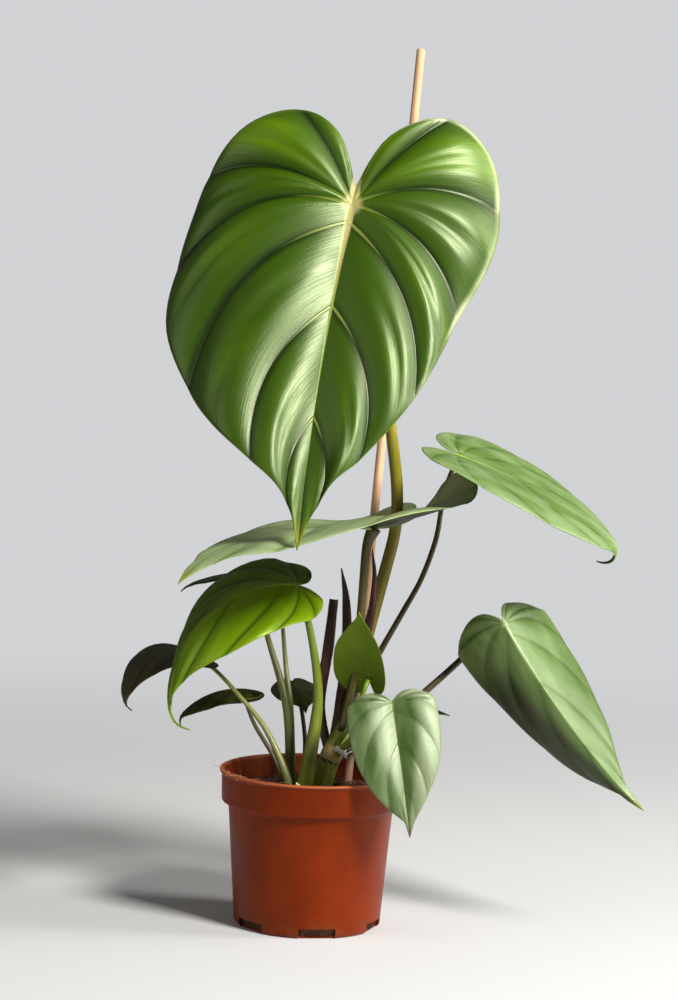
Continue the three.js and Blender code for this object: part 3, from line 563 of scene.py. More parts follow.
def quilting(shape, side, a, b, reach):
    """How far the blade swells off its smooth surface, as a share of the midrib's length."""
    swell = 2.3 * b * np.sqrt(1.03 - b) * np.minimum(1, reach / FULL_VEIN)
    ends = np.minimum(1, np.minimum(4 * a, 4 * (1 - a)))
    ripple = np.sin(2 * math.pi * (4 * a + (0 if side > 0 else .37)))
    panel = np.minimum((a * VEINS).astype(int), VEINS - 1)
    share = a * VEINS - panel
    rng = np.random.default_rng(len(shape["name"]) * 7 + side + int(shape["pole"][2]))
    depth, middle = rng.uniform(.4, 1, VEINS)[panel], rng.uniform(.4, .62, VEINS)[panel]
    groove = depth * np.exp(-((share - middle) / .085) ** 2) * np.sin(math.pi * np.clip(b * 1.15 - .15, 0, 1))
    puff = np.abs(np.sin(math.pi * share)) - shape["groove"] * groove
    return shape["quilt"] * puff * swell + shape["wave"] * b ** 3 * ripple * ends


def blade_surface(shape, side, a, b):
    """The middle of the blade's thickness, and its flat plan in millimetres."""
    width, fold_pole, fold_tip, curl, rise = shape["halves"][side]
    plan, reach = flat_plan(shape["outlines"][0 if side > 0 else 1], a, b)
    s = np.where(plan[..., 0] < 0, plan[..., 0] * shape["back"], plan[..., 0])
    t = plan[..., 1] * width
    _, across_axis, up_axis = rib_axes(shape, s)
    fold = np.radians(fold_pole + (fold_tip - fold_pole) * np.clip(s, 0, 1))
    bend = math.radians(curl) / WIDEST
    tilt = fold + bend * t
    across = (np.sin(tilt) - np.sin(fold)) / bend
    down = (np.cos(tilt) - np.cos(fold)) / bend
    relief = quilting(shape, side, a, b, reach)
    lift = np.where(s < 0, rise * s * s / LOBE_REACH, 0) * np.minimum(1, 10 * t)
    point = (rib_point(shape, s) + across_axis * (side * (across + np.sin(tilt) * relief))[..., None]
             + up_axis * (down + lift + np.cos(tilt) * relief)[..., None])
    return to_plant(shape, point), np.stack([s, t], -1) * shape["length"]


def blade_rows(shape):
    """Rows along the outline, closer together at each vein, and columns, closer at rib and margin."""
    u = np.arange(VEINS * shape["panel_rows"] + 1) / shape["panel_rows"]
    a = (u - .45 * np.sin(2 * math.pi * u) / (2 * math.pi)) / VEINS
    v = np.linspace(0, 1, shape["columns"] + 1)
    return a, v - .35 * np.sin(2 * math.pi * v) / (2 * math.pi)


def leaf_piece(shape, material):
    """The blade as a thin closed sheet, with a rounded midrib let into it."""
    rows, columns = blade_rows(shape)
    a, b = np.meshgrid(rows, columns, indexing="ij")
    grids, seen, middle, marks = {}, {}, [], []
    for side in (1, -1):
        surface, plan = blade_surface(shape, side, a, b)
        grids[side] = (surface, plan, np.linalg.norm(np.gradient(surface, rows, axis=0), axis=-1))
    last_row, last_column = len(rows) - 1, len(columns) - 1

    def vertex(side, i, j):
        """The number of a grid spot's point. The halves share the tip, the rib and the notch."""
        if i == last_row:
            key = "tip"
        elif j == 0:
            key = "pole" if vein_start(rows[i]) == 0 else ("rib", i)
        else:
            key = ("notch", j) if i == 0 else (side, i, j)
        if key not in seen:
            seen[key] = len(middle)
            middle.append(grids[side][0][i, j])
            marks.append(1 if j == last_column and key != "tip" else columns[j])
        return seen[key]

    quads, rim = [], []
    for side in (1, -1):
        for i in range(last_row):
            quads += [[(side, i, j), (side, i + 1, j), (side, i + 1, j + 1), (side, i, j + 1)][::side]
                      for j in range(last_column)]
            rim.append([(side, i, last_column), (side, i + 1, last_column)][::side])
    corner_ids = np.array([[vertex(*spot) for spot in quad] for quad in quads])
    middle = np.array(middle)
    p = middle[corner_ids]
    face_normals = np.cross(p[:, 2] - p[:, 0], p[:, 3] - p[:, 1])
    normals = np.zeros_like(middle)
    for k in range(4):
        np.add.at(normals, corner_ids[:, k], face_normals)
    normals = unit(normals)
    share = smoothstep(np.array(marks), .94, 1)
    half = (BLADE_THICKNESS + (MARGIN_THICKNESS - BLADE_THICKNESS) * share)[:, None] / 2

    shell = Shell("ab", "plan", "size", "OFBake")
    shell.add_points(middle + normals * half)
    shell.add_points(middle - normals * half)
    reach = max(np.abs(grids[side][1][..., 1]).max() for side in (1, -1)) * 1.05
    low, high = grids[1][1][..., 0].min(), shape["length"]

    def value(spot, top):
        side, i, j = spot
        _, plan, per_a = grids[side]
        s, t = plan[i, j]
        across = side * t
        sheet = (.25 if top else .75) + .24 * across / reach
        return {"ab": (rows[i], columns[j]), "plan": (s, across), "size": (per_a[i, j], float(top)),
                "OFBake": (sheet, .04 + .94 * (s - low) / (high - low))}

    for quad, ids in zip(quads, corner_ids):
        order = [k for k in range(4) if ids[k] != ids[k - 1]]
        if len(order) < 3:
            continue
        shell.add_face(ids[order], [value(quad[k], True) for k in order])
        shell.add_face(ids[order[::-1]] + len(middle), [value(quad[k], False) for k in order[::-1]])
    for spots in rim:
        p, q = (vertex(*spot) for spot in spots)
        first, second = (value(spot, True) for spot in spots)
        shell.add_face([q, q + len(middle), p + len(middle), p], [second, second, first, first])
    add_midrib(shell, shape)
    return shell.piece(shape["name"] + "_blade", material)


def add_midrib(shell, shape):
    """A tapering rib, nearly flush on the upper face and rounded below."""
    s = np.linspace(-.006, .9, 46)
    _, across, up = rib_axes(shape, s)
    radii = shape["rib"] * (.07 + .93 * (1 - np.clip(s, 0, 1)) ** 4.5) / 2
    radii[:2] *= (.35, .85)
    turn = shape["placed"].T
    centres = to_plant(shape, rib_point(shape, s)) - up @ turn * (radii * .42)[:, None]

    def value(share, angle, radius, along):
        return {"ab": (.5, 0), "plan": (share * .9 * shape["length"], 0),
                "size": (1, float(math.sin(angle) > -.3)),
                "OFBake": (.004 + .006 * angle / 7, .04 + .9 * share)}

    shell.add_tube(centres, radii, across @ turn, up @ turn, flat=.62, count=12, values=value)


# Materials


class Value:
    """A number or colour that nodes work out. Arithmetic with it adds the nodes for the result."""

    def __init__(self, nodes, socket):
        self.nodes, self.socket = nodes, socket

    def __add__(self, other):
        return self.nodes.math("ADD", self, other)

    def __sub__(self, other):
        return self.nodes.math("SUBTRACT", self, other)

    def __rsub__(self, other):
        return self.nodes.math("SUBTRACT", other, self)

    def __mul__(self, other):
        return self.nodes.math("MULTIPLY", self, other)

    def __truediv__(self, other):
        return self.nodes.math("DIVIDE", self, other)

    def __pow__(self, other):
        return self.nodes.math("POWER", self, other)

    def __abs__(self):
        return self.nodes.math("ABSOLUTE", self)


class Nodes:
    """Short calls for building one material's nodes. A colour is given as 0-255 levels."""

    def __init__(self, name):
        self.material = bpy.data.materials.new(name + "_surface")
        self.material.use_nodes = True
        self.tree = self.material.node_tree
        self.shader = self.tree.nodes["Principled BSDF"]

    def feed(self, socket, source):
        if isinstance(source, Value):
            self.tree.links.new(source.socket, socket)
        elif socket.type == "RGBA":
            socket.default_value = colour(source)
        else:
            socket.default_value = source

    def node(self, kind, inputs=None, output=0, **settings):
        made = self.tree.nodes.new(kind)
        for key, setting in settings.items():
            setattr(made, key, setting)
        for key, source in (inputs or {}).items():
            self.feed(made.inputs[key], source)
        return Value(self, made.outputs[output])

    def math(self, operation, *values):
        return self.node("ShaderNodeMath", dict(enumerate(values)), operation=operation)

    def split(self, source):
        made = self.node("ShaderNodeSeparateXYZ", {0: source}).socket.node
        return [Value(self, output) for output in made.outputs]

    def pair(self, uv_map):
        return self.split(self.node("ShaderNodeUVMap", uv_map=uv_map))[:2]

    def vector(self, x, y, z=0.0):
        return self.node("ShaderNodeCombineXYZ", {0: x, 1: y, 2: z})

    def reach(self, x, y):
        return self.math("SQRT", x * x + y * y)

    def place(self):
        return self.node("ShaderNodeTexCoord", output="Object")

    def step(self, value, low, high, start=0.0, end=1.0):
        """A smooth rise of value from start at low to end at high."""
        inputs = {0: value, 1: low, 2: high, 3: start, 4: end}
        return self.node("ShaderNodeMapRange", inputs, interpolation_type="SMOOTHSTEP")

    def noise(self, where, scale, detail=2.0, rough=.5, twist=0.0):
        inputs = {"Vector": where, "Scale": scale, "Detail": detail, "Roughness": rough, "Distortion": twist}
        return self.node("ShaderNodeTexNoise", inputs, "Fac")

    def mix(self, share, first, second):
        return self.node("ShaderNodeMix", {0: share, 6: first, 7: second}, 2, data_type="RGBA")

    def finish(self, base, roughness, height=None, **sockets):
        """height is a relief in millimetres, and sockets are constants of the shader."""
        self.feed(self.shader.inputs["Base Color"], base)
        self.feed(self.shader.inputs["Roughness"], roughness)
        if height:
            bump = self.node("ShaderNodeBump", {"Height": height, "Distance": MM})
            self.feed(self.shader.inputs["Normal"], bump)
        for key, setting in sockets.items():
            self.shader.inputs[key.replace("_", " ")].default_value = setting
        return self.material


def leaf_material(shape):
    """Quilted panels with painted highlights and sheen, between creases darkened by painted shade, and veins
    and a midrib that are pale near the petiole.
    """
    n = Nodes(shape["name"])
    valley_shade, body, crest_highlight, vein_tone, rib_tone, tip_tone, under, silver = LEAF_COLOURS[shape["name"]]
    length, rib_width = float(shape["length"]), shape["rib"]
    a, b = n.pair("ab")
    s, across = n.pair("plan")
    per_a, top = n.pair("size")
    below = 1.0 - top
    clouds = n.noise(n.place(), 34.0, 2.0)

    def by_half(right, left):
        return n.step(across, -.5, .5, left, right)

    # Veins and midrib
    t = abs(across)
    away = abs(n.math("FRACT", a * VEINS + .5) - .5)
    distance = away / VEINS * per_a
    thick = n.step(b, 0.0, .4, max(.3, rib_width * .16), .16)
    inside = n.step(a, .06, .1) * n.step(a, .97, .93)
    vein = n.step(distance, thick * .4, thick * 1.6, 1.0, 0.0) * inside
    taper = (1.0 - n.math("MAXIMUM", s, 0.0) / length) ** 4.5
    rib_half = (taper * .93 + .07) * (rib_width * .5)
    rib = n.step(t, rib_half * .7, rib_half * 1.15, 1.0, 0.0)
    pole = n.step(n.reach(s, t), rib_width * .4, rib_width * 1.2, 1.0, 0.0)
    # The creases at the veins get painted shade
    crease = n.step(distance, .1, 2.2, 1.0, 0.0) * n.step(b, .1, .45, 0.0, shape["crease"])

    # Panels: painted shade in their valleys, painted highlights on their crests and painted glow in the
    # lobes, streaks, and patches of painted sheen
    streaks = n.noise(n.vector(a * 330.0, b * 3.0), 1.0, 3.0, .62)
    bands = n.noise(n.vector(a * 15.0, b * 1.6, 3.7), 1.0, 1.0)
    patches = n.noise(n.vector(s * .034, across * .085, PATCH_LAYER), 1.0, 2.5, .6, twist=.5)
    # Painted shade in each panel's valleys, next to its veins
    tone = n.mix(n.step(away, .0, .13), valley_shade, body)
    # Painted highlight: bands of the crests' colour, stronger towards the margin, and a painted glow in the
    # lobes
    light = n.step(bands, .4, .62) * n.step(b, .2, .9, .1, .8)
    lobes = n.step(s, length * .1, -length * .2) * .4
    tone = n.mix((light + lobes) * n.step(away, .1, .4, 0.0, 1.0 - .6 * silver), tone, crest_highlight)
    tone = n.mix(n.step(clouds, .45, .75, 0.0, .3), tone, dimmed(body, .75))
    # Painted sheen: pale patches, paler towards the margin, and on some leaves pale bands on one side of each
    # half
    pale = n.step(patches, .36, .64, 0.0, .85) + n.step(b, .6, 1.0, 0.0, .3)
    if shape["silvery"]:
        right_span, left_span = shape["silvery"]
        bright = n.step(b, *right_span) * by_half(.85, 0.0) + n.step(b, *left_span) * by_half(0.0, .85)
        pale = pale * .35 + bright
    tone = n.mix(n.math("MINIMUM", pale, 1.0) * silver, tone, crest_highlight)
    tone = n.mix(n.step(streaks, .4, .7, .0, .22), tone, valley_shade)
    # Painted shade along the creases
    tone = n.mix(crease * inside, tone, dimmed(valley_shade, .6))

    # Painted shade towards a half's margin, a rolled margin painted pale, partly as a painted highlight,
    # the margin's thin rim, veins and tip
    start, full = shape["dusk_along"]
    # Painted shade: a half grows darker towards its margin
    dusk = n.step(b, *shape["dusk_from"]) * by_half(*shape["dusk"])
    tone = n.mix(dusk * n.step(s, length * start, length * full), tone, dimmed(valley_shade, .45))
    # A rolled margin painted pale: partly its own paler tone, partly a painted highlight
    edge = n.step(b, .935, .995) * by_half(*shape["pale_margin"])
    edge = edge * n.step(s, length * .6, length * .3) * n.step(clouds, .3, .6, .3, 1.0)
    tone = n.mix(edge, tone, PALE_EDGE_AND_HIGHLIGHT)
    tone = n.mix(n.step(b, .985, .998) * .5, tone, vein_tone)
    tone = n.mix(vein * n.step(b, .03, .34, .85, .0), tone, vein_tone)
    tone = n.mix(n.step(s, length * .9, length * .99), tone, tip_tone)

    # Underside and midrib
    back_tone = n.mix(n.step(clouds, .3, .7), dimmed(under, .88), under)
    back_tone = n.mix(vein * n.step(b, .1, .8, .8, .1), back_tone, vein_tone)
    tone = n.mix(below, tone, back_tone)
    rib_fade = n.mix(n.step(s, length * .05, length * .35), rib_tone, vein_tone)
    rib_fade = n.mix(n.step(s, length * .3, length * .62), rib_fade, crest_highlight)
    rib_fade = n.mix(n.step(s, length * .8, length * .97), rib_fade, tip_tone)
    tone = n.mix(n.math("MAXIMUM", rib, pole), tone, rib_fade)

    height = (streaks - .5) * n.step(per_a, 12.0, 70.0, .0, .09) + vein * n.step(b, .0, .4, .2, .0)
    height = height - crease * .1 + n.noise(n.place(), 1500.0, 2.0) * .01
    roughness = n.step(streaks * .6 + clouds * .4, .3, .7, .31, .45) + below * .15
    return n.finish(tone, roughness, height, Specular_IOR_Level=.6, Specular_Tint=(*shape["gloss"], 1))


def stem_material(name, roughness=STEM_ROUGHNESS, band=None):
    """Fine ridges and flecks along a stem, from its foot colour to its top colour."""
    foot, top, fleck = STEM_COLOURS[name]
    n = Nodes(name)
    cos, sin = n.pair("around")
    along, share = n.pair("along")
    fine = n.noise(n.vector(cos, sin, along * .035), 1.7, 3.0, .6)
    flecks = n.noise(n.vector(cos, sin, along * .45), 2.6, 1.0)
    clouds = n.noise(n.place(), 60.0, 2.0)
    tone = n.mix(n.step(share, .05, .95), foot, top)
    tone = n.mix(n.step(fine, .42, .7, 0.0, .4), tone, dimmed(foot, .62))
    tone = n.mix(n.step(flecks, .66, .74, 0.0, .55), tone, fleck)
    tone = n.mix(n.step(clouds, .5, .8, 0.0, .35), tone, dimmed(top, .8))
    height = fine * .16 + flecks * .05
    if band:
        low, high, ring_tone = band
        edge = along + n.noise(n.vector(cos, sin), .5) * 2.2
        ring = n.step(edge, low, low + .7) * n.step(edge, high, high - .7)
        dashes = n.step(n.noise(n.vector(cos, sin, 5.0), .9, 2.0), .42, .52)
        seam = n.step(abs(edge - (low + .3)), .8, .3) * dashes
        spots = n.step(n.noise(n.vector(cos, sin, along), 1.2, 3.0), .5, .72)
        tone = n.mix(ring, tone, n.mix(spots, ring_tone, dimmed(ring_tone, .6)))
        tone = n.mix(seam, tone, dimmed(ring_tone, .3))
        height = height + ring * .3
    return n.finish(tone, n.step(clouds, .3, .7, roughness - .05, roughness + .08), height, Coat_Weight=.12,
                    Coat_Roughness=.3)


def sheath_material():
    """Dry maroon-brown tissue with long ribs, olive at its foot."""
    n = Nodes("sheath")
    cos, sin = n.pair("around")
    along, share = n.pair("along")
    ribs = n.noise(n.vector(cos * 3.2, sin, along * .04), 1.4, 3.0, .65)
    blotches = n.noise(n.place(), 120.0, 3.0)
    tone = n.mix(n.step(ribs, .35, .68), (34, 11, 10), (78, 32, 24))
    tone = n.mix(n.step(blotches, .48, .7, 0.0, .5), tone, (104, 54, 34))
    tone = n.mix(n.step(share, .8, 1.0, 0.0, .7), tone, (70, 34, 22))
    tone = n.mix(n.step(share, .3, .0, 0.0, .6), tone, (96, 84, 34))
    return n.finish(tone, n.step(blotches, .3, .7, .42, .6), ribs * .22, Coat_Weight=.1, Coat_Roughness=.35)


def pot_material():
    """Moulded terracotta-coloured plastic: satin, faintly mottled, scuffed low down and darker inside."""
    n = Nodes("pot")
    place = n.place()
    x, y, z = n.split(place)
    radius = n.reach(x, y)
    mottle = n.noise(place, 40.0, 4.0, .6)
    scuffs = n.noise(n.vector(x * 5.0, y * 5.0, z * .7), 60.0, 4.0, .7)
    tone = n.mix(n.step(mottle, .3, .72), (104, 28, 1), (120, 38, 3))
    tone = n.mix(n.step(scuffs, .62, .8, 0.0, .25), tone, (150, 62, 28))
    lip = n.step(z, (POT_HEIGHT - 1.5) * MM, (POT_HEIGHT - .4) * MM)
    lip = lip * n.step(radius, (RIM_RADIUS - 3.5) * MM, (RIM_RADIUS - 1) * MM)
    tone = n.mix(lip * .6, tone, (206, 116, 76))

    # The inside is darker and mottled, which is where the radius is less than the middle of the wall's
    collar = n.step(z, (COLLAR_FOOT - 2.5) * MM, (COLLAR_FOOT - .5) * MM)
    wall = z * ((BODY_TOP_RADIUS - BASE_RADIUS) / COLLAR_FOOT) + (BASE_RADIUS - .7) * MM
    wall = wall + collar * ((COLLAR_RADIUS - BODY_TOP_RADIUS - .3) * MM)
    inner = n.step(wall - radius, 0.0, .4 * MM) * n.step(z, 4 * MM, 10 * MM)
    tone = n.mix(inner * n.step(n.noise(place, 220.0, 4.0, .7), .35, .65, .4, .9), tone, (64, 28, 14))
    dust = n.step(z, 12 * MM, .0) * n.step(n.noise(place, 160.0, 3.0), .42, .7)
    tone = n.mix(dust * .5, tone, (110, 66, 44))
    height = n.noise(place, 2600.0, 2.0) * .035 + scuffs * .05
    return n.finish(tone, n.step(mottle + scuffs * .4, .5, 1.0, .34, .5), height, Specular_IOR_Level=.26,
                    Specular_Tint=(1, .6, .34, 1))


def soil_material():
    """Dark peat with reddish fibre, bark and a few pale specks, and pale coir above the rim."""
    n = Nodes("soil")
    place = n.place()
    fine = n.noise(place, 700.0, 5.0, .7)
    clods = n.noise(place, 150.0, 4.0, .6)
    tone = n.mix(n.step(clods, .35, .66), (40, 22, 14), (92, 54, 34))
    tone = n.mix(n.step(fine, .5, .72, 0.0, .75), tone, (136, 84, 54))
    tone = n.mix(n.step(n.noise(place, 420.0, 1.0), .7, .78, 0.0, .7), tone, (186, 146, 106))
    _, _, z = n.split(place)
    tone = n.mix(n.step(z, (POT_HEIGHT - 5) * MM, (POT_HEIGHT - 1) * MM), tone, (206, 140, 96))
    return n.finish(tone, n.step(fine, .3, .7, .78, .98), fine * .7 + clods * .8, Specular_IOR_Level=.25)


def stake_material():
    """Pale dowel wood with long grain and a few darker lines, darker towards the foot."""
    n = Nodes("stake")
    cos, sin = n.pair("around")
    along, share = n.pair("along")
    grain = n.noise(n.vector(cos, sin, along * .012), 2.3, 5.0, .62)
    pores = n.noise(n.vector(cos, sin, along * .05), 7.0, 2.0)
    clouds = n.noise(n.place(), 18.0, 2.0)
    tone = n.mix(n.step(grain, .34, .68), (204, 156, 112), (232, 190, 150))
    tone = n.mix(n.step(pores, .64, .74, 0.0, .4), tone, (150, 96, 62))
    tone = n.mix(n.step(clouds, .45, .75, 0.0, .4), tone, (222, 172, 130))
    tone = n.mix(n.step(share, .3, .13, 0.0, .75), tone, (82, 54, 34))
    return n.finish(tone, n.step(grain, .3, .7, .55, .75), grain * .14 + pores * .06, Specular_IOR_Level=.35)


# Stems, sheaths and stake


def around(share, angle, radius, along):
    return {"around": (math.cos(angle) * radius, math.sin(angle) * radius), "along": (along, share)}


def stem_piece(name, routes, material, swell=0.0, rounded=0):
    """Round stems on their CAD stops. swell thickens them where they meet their blades."""
    shell = Shell("around", "along")
    for stops in routes:
        centres, radii, side, front = route(stops, (len(stops) - 1) * RINGS_PER_STOP, rounded)
        lengths = run_lengths(centres)
        left = lengths[-1] - lengths
        radii = radii * (1 + swell * np.exp(-(left / (4 * radii[-4])) ** 2))
        shell.add_tube(centres, radii, side, front, values=around)
    shell.piece(name, material)


def sheath_piece(name, stops, material, seed):
    """A papery sheath: a thin sheet curled round its petiole, ragged along its edges."""
    centres, radii, side, front = route(stops, SHEATH_STEPS)
    ragged = wobble(np.random.default_rng(seed), SHEATH_STEPS + 1)[:, None]
    lengths = run_lengths(centres)
    curl = SHEATH_CURL + SHEATH_CURL_CHANGE * np.sin(lengths / 17 + seed)
    v = np.linspace(-1, 1, SHEATH_COLUMNS + 1)
    angle = v * curl[:, None]
    crease = .06 * np.sin(5 * v + lengths[:, None] / 9) * radii[:, None]
    shell = Shell("around", "along")
    layers = []
    for thickness in (0, SHEATH_THICKNESS):
        radius = radii[:, None] * (1 + SHEATH_RAGGEDNESS * ragged * np.abs(v) ** 3) - thickness
        inward = np.cos(angle) * radius * .75 - radii[:, None] * .35 + crease
        layers.append(shell.add_points(centres[:, None] + side[:, None] * (np.sin(angle) * radius)[..., None]
                                       - front[:, None] * inward[..., None]))

    def value(k, m):
        return {"around": (v[m] * radii[k] * 1.3, 0), "along": (lengths[k], lengths[k] / lengths[-1])}

    def add(spots):
        """Each spot is its layer, its row along the sheath and its column round it."""
        shell.add_face([layers[layer] + k * len(v) + m for layer, k, m in spots],
                       [value(k, m) for _, k, m in spots])

    for k in range(SHEATH_STEPS):
        for m in range(SHEATH_COLUMNS):
            for layer, way in enumerate((1, -1)):
                add([(layer, k, m), (layer, k, m + 1), (layer, k + 1, m + 1), (layer, k + 1, m)][::way])
    edge = ([(0, m) for m in range(SHEATH_COLUMNS)] + [(k, SHEATH_COLUMNS) for k in range(SHEATH_STEPS)]
            + [(SHEATH_STEPS, m) for m in range(SHEATH_COLUMNS, 0, -1)]
            + [(k, 0) for k in range(SHEATH_STEPS, 0, -1)])
    for first, second in zip(edge, edge[1:] + edge[:1]):
        add([(0, *first), (1, *first), (1, *second), (0, *second)])
    shell.piece(name, material)


def stake_piece(material):
    """A straight dowel, a little uneven, with a softened top edge."""
    foot, top = np.array(STAKE_FOOT), np.array(STAKE_TOP)
    at = np.concatenate([[0], np.linspace(.003, .9985, STAKE_STEPS), [1]])
    unevenness = STAKE_UNEVENNESS * wobble(np.random.default_rng(STAKE_SEED), len(at))
    radii = STAKE_RADIUS * (1 + unevenness)
    radii[-1] *= .84
    radii[0] *= .6
    axis = unit(top - foot)
    front = unit(np.array([0, 1.0, 0]) - axis * axis[1])
    side, front = (np.repeat(v[None], len(at), 0) for v in (np.cross(front, axis), front))
    shell = Shell("around", "along")
    shell.add_tube(foot + at[:, None] * (top - foot), radii, side, front, count=STAKE_SIDES, values=around)
    shell.piece("support_stake", material)


# Pot and soil


def body_radius(z):
    return BASE_RADIUS + (BODY_TOP_RADIUS - BASE_RADIUS) * z / COLLAR_FOOT


def rounded_corners(profile, radius, steps=4):
    """The profile with each inner corner rounded off."""
    points = [profile[0]]
    for spots in zip(profile, profile[1:], profile[2:]):
        before, corner, after = (np.array(p, float) for p in spots)
        reach = min(radius, np.linalg.norm(before - corner) * .45, np.linalg.norm(after - corner) * .45)
        start = corner + unit(before - corner) * reach
        end = corner + unit(after - corner) * reach
        for w in np.linspace(0, 1, steps + 1):
            points.append(tuple(start * (1 - w) ** 2 + corner * 2 * w * (1 - w) + end * w * w))
    return points + [profile[-1]]


def notch_cutter(angle):
    """A block with rounded upright edges, across the foot of the pot at an angle."""
    bm = bmesh.new()
    bmesh.ops.create_cube(bm, size=1, matrix=Matrix.Diagonal((*(x * MM for x in NOTCH_SIZE), 1)))
    beams = [edge for edge in bm.edges if abs((edge.verts[0].co - edge.verts[1].co).x) > 1e-6]
    bmesh.ops.bevel(bm, geom=beams, offset=NOTCH_ROUNDING * MM, segments=4, affect="EDGES", profile=.5)
    bm.transform(Matrix.Rotation(math.radians(angle), 4, "Z") @ Matrix.Translation((BASE_RADIUS * MM, 0, 0)))
    mesh = bpy.data.meshes.new("notch")
    bm.to_mesh(mesh)
    bm.free()
    cutter = bpy.data.objects.new("notch", mesh)
    bpy.context.scene.collection.objects.link(cutter)
    return cutter


def pot_piece(material):
    """The lathed pot, with its drainage notches cut out of the foot."""
    inner = COLLAR_RADIUS - POT_WALL
    profile = [
        (0, 0), (BASE_RADIUS - FOOT_CHAMFER, 0), (BASE_RADIUS, FOOT_CHAMFER),
        (body_radius(BODY_TOP), BODY_TOP),
        (COLLAR_RADIUS, COLLAR_FOOT), (COLLAR_RADIUS + .4, POT_HEIGHT - 2 * LIP_HEIGHT),
        (RIM_RADIUS, POT_HEIGHT - LIP_HEIGHT), (RIM_RADIUS, POT_HEIGHT), (inner + .3, POT_HEIGHT),
        (inner, POT_HEIGHT - LIP_HEIGHT), (inner - .3, COLLAR_FOOT - .5),
        (body_radius(BODY_TOP) - POT_WALL, BODY_TOP - 1), (body_radius(POT_WALL) - POT_WALL, POT_WALL),
        (0, POT_WALL),
    ]
    profile = rounded_corners(profile, POT_ROUNDING)
    rings = [circle(r, z, POT_SEGMENTS) for r, z in profile[1:-1]]
    piece = new_piece("nursery_pot", material, *closed_stack(rings, (0, 0, 0), (0, 0, POT_WALL)))
    cutters = [notch_cutter(FIRST_NOTCH_ANGLE + 360 / NOTCH_COUNT * k) for k in range(NOTCH_COUNT)]
    for cutter in cutters:
        cut = piece.modifiers.new("notch", "BOOLEAN")
        cut.operation, cut.object, cut.solver = "DIFFERENCE", cutter, "EXACT"
    bpy.context.view_layer.update()
    shaped = bpy.data.meshes.new_from_object(piece.evaluated_get(bpy.context.evaluated_depsgraph_get()))
    piece.modifiers.clear()
    piece.data = shaped
    for cutter in cutters:
        bpy.data.objects.remove(cutter)
    shaped.set_sharp_from_angle(angle=math.radians(SHARP_ANGLE))


def lumps(x, y, scale, seed):
    """Smooth uneven ground from a few crossing waves, about -1 to 1."""
    rng = np.random.default_rng(seed)
    total = np.zeros_like(x)
    for _ in range(9):
        turn, phase = rng.uniform(0, 2 * math.pi, 2)
        pitch = rng.uniform(.6, 1.6) / scale
        total += np.sin((x * math.cos(turn) + y * math.sin(turn)) * pitch + phase)
    return total / 4


def soil_height(x, y):
    x, y = np.atleast_1d(x), np.atleast_1d(y)
    height = SOIL_TOP + SOIL_MOUND * np.exp(-((x - SOIL_MOUND_AT) ** 2 + y ** 2) / SOIL_MOUND_SPREAD)
    for tall, wide, seed in SOIL_WAVES:
        height = height + tall * lumps(x, y, wide, seed)
    return height


def random_spot(rng, reach):
    """A random place within reach of the middle, and how far out it is."""
    r, turn = reach * math.sqrt(rng.uniform(0, 1)), rng.uniform(0, 2 * math.pi)
    return np.array([r * math.cos(turn), r * math.sin(turn)]), r


def add_crumb(shell, rng, edge):
    """A small uneven lump of peat or bark on the soil."""
    spot, r = random_spot(rng, edge * .975)
    size = CRUMB_SIZE[0] + (CRUMB_SIZE[1] - CRUMB_SIZE[0]) * rng.uniform(0, 1) ** 3
    stretch = rng.uniform(*CRUMB_STRETCH)
    spot *= min(1, (edge - size * stretch) / r)
    centre = np.array([*spot, soil_height(*spot)[0] + size * .2])
    bm = bmesh.new()
    bmesh.ops.create_icosphere(bm, subdivisions=1, radius=1)
    turn = Matrix.Rotation(rng.uniform(0, 6.28), 4, Vector(rng.uniform(-1, 1, 3)))
    points = []
    for vert in bm.verts:
        swollen = vert.co * rng.uniform(*CRUMB_UNEVENNESS)
        scaled = Vector((swollen.x * size * stretch, swollen.y * size, swollen.z * size * .7))
        points.append(np.array(turn @ scaled) + centre)
    start = shell.add_points(points)
    for face in bm.faces:
        shell.add_face([start + v.index for v in face.verts])
    bm.free()


def add_strand(shell, centres, radii):
    tangents = unit(np.gradient(centres, axis=0))
    side = unit(np.cross(tangents, (0, 0, 1.0)) + 1e-6)
    shell.add_tube(centres, radii, side, np.cross(tangents, side), count=5)


def add_fibre(shell, rng, edge):
    """A thin bent strand lying on or standing off the soil."""
    length = rng.uniform(*FIBRE_LENGTH)
    spot, _ = random_spot(rng, edge - length * .8)
    foot = np.array([*spot, soil_height(*spot)[0] + .15])
    direction, radius, lift = rng.uniform(0, 6.28), rng.uniform(*FIBRE_RADIUS), rng.uniform(*FIBRE_LIFT)
    bend = rng.uniform(*FIBRE_BEND)
    at = np.linspace(0, 1, 9)
    flat = np.array([math.cos(direction), math.sin(direction), 0])
    over = np.array([-flat[1], flat[0], 0])
    centres = foot + flat * (at * length)[:, None] + over * (bend * length * .5 * at ** 2)[:, None]
    centres[:, 2] += lift * np.sin(at * math.pi * .9)
    add_strand(shell, centres, np.linspace(radius, radius * .5, len(at)))


def add_rim_fibre(shell, rng):
    """A strand of coir that climbs the inside of the wall and lies over the rim, at the left front."""
    inner = COLLAR_RADIUS - POT_WALL
    at, bends = np.linspace(0, 1, 15), (0, .2, .4, .75, 1)
    radii = np.interp(at, bends, (inner - 3, inner - .6, inner - .3, RIM_RADIUS - .8,
                                  RIM_RADIUS + rng.uniform(.2, 3)))
    heights = np.interp(at, bends, (SOIL_TOP, POT_HEIGHT - 4, POT_HEIGHT + .15, POT_HEIGHT + .3,
                                    POT_HEIGHT + rng.uniform(-1, 2)))
    start, sweep = rng.uniform(*RIM_FIBRE_ANGLES), rng.uniform(*RIM_FIBRE_SWEEP)
    turns = np.radians(start + sweep * rng.choice((-1, 1)) * at)
    centres = np.stack([radii * np.cos(turns), radii * np.sin(turns), heights], 1)
    add_strand(shell, centres, np.full(len(at), rng.uniform(*RIM_FIBRE_RADIUS)))


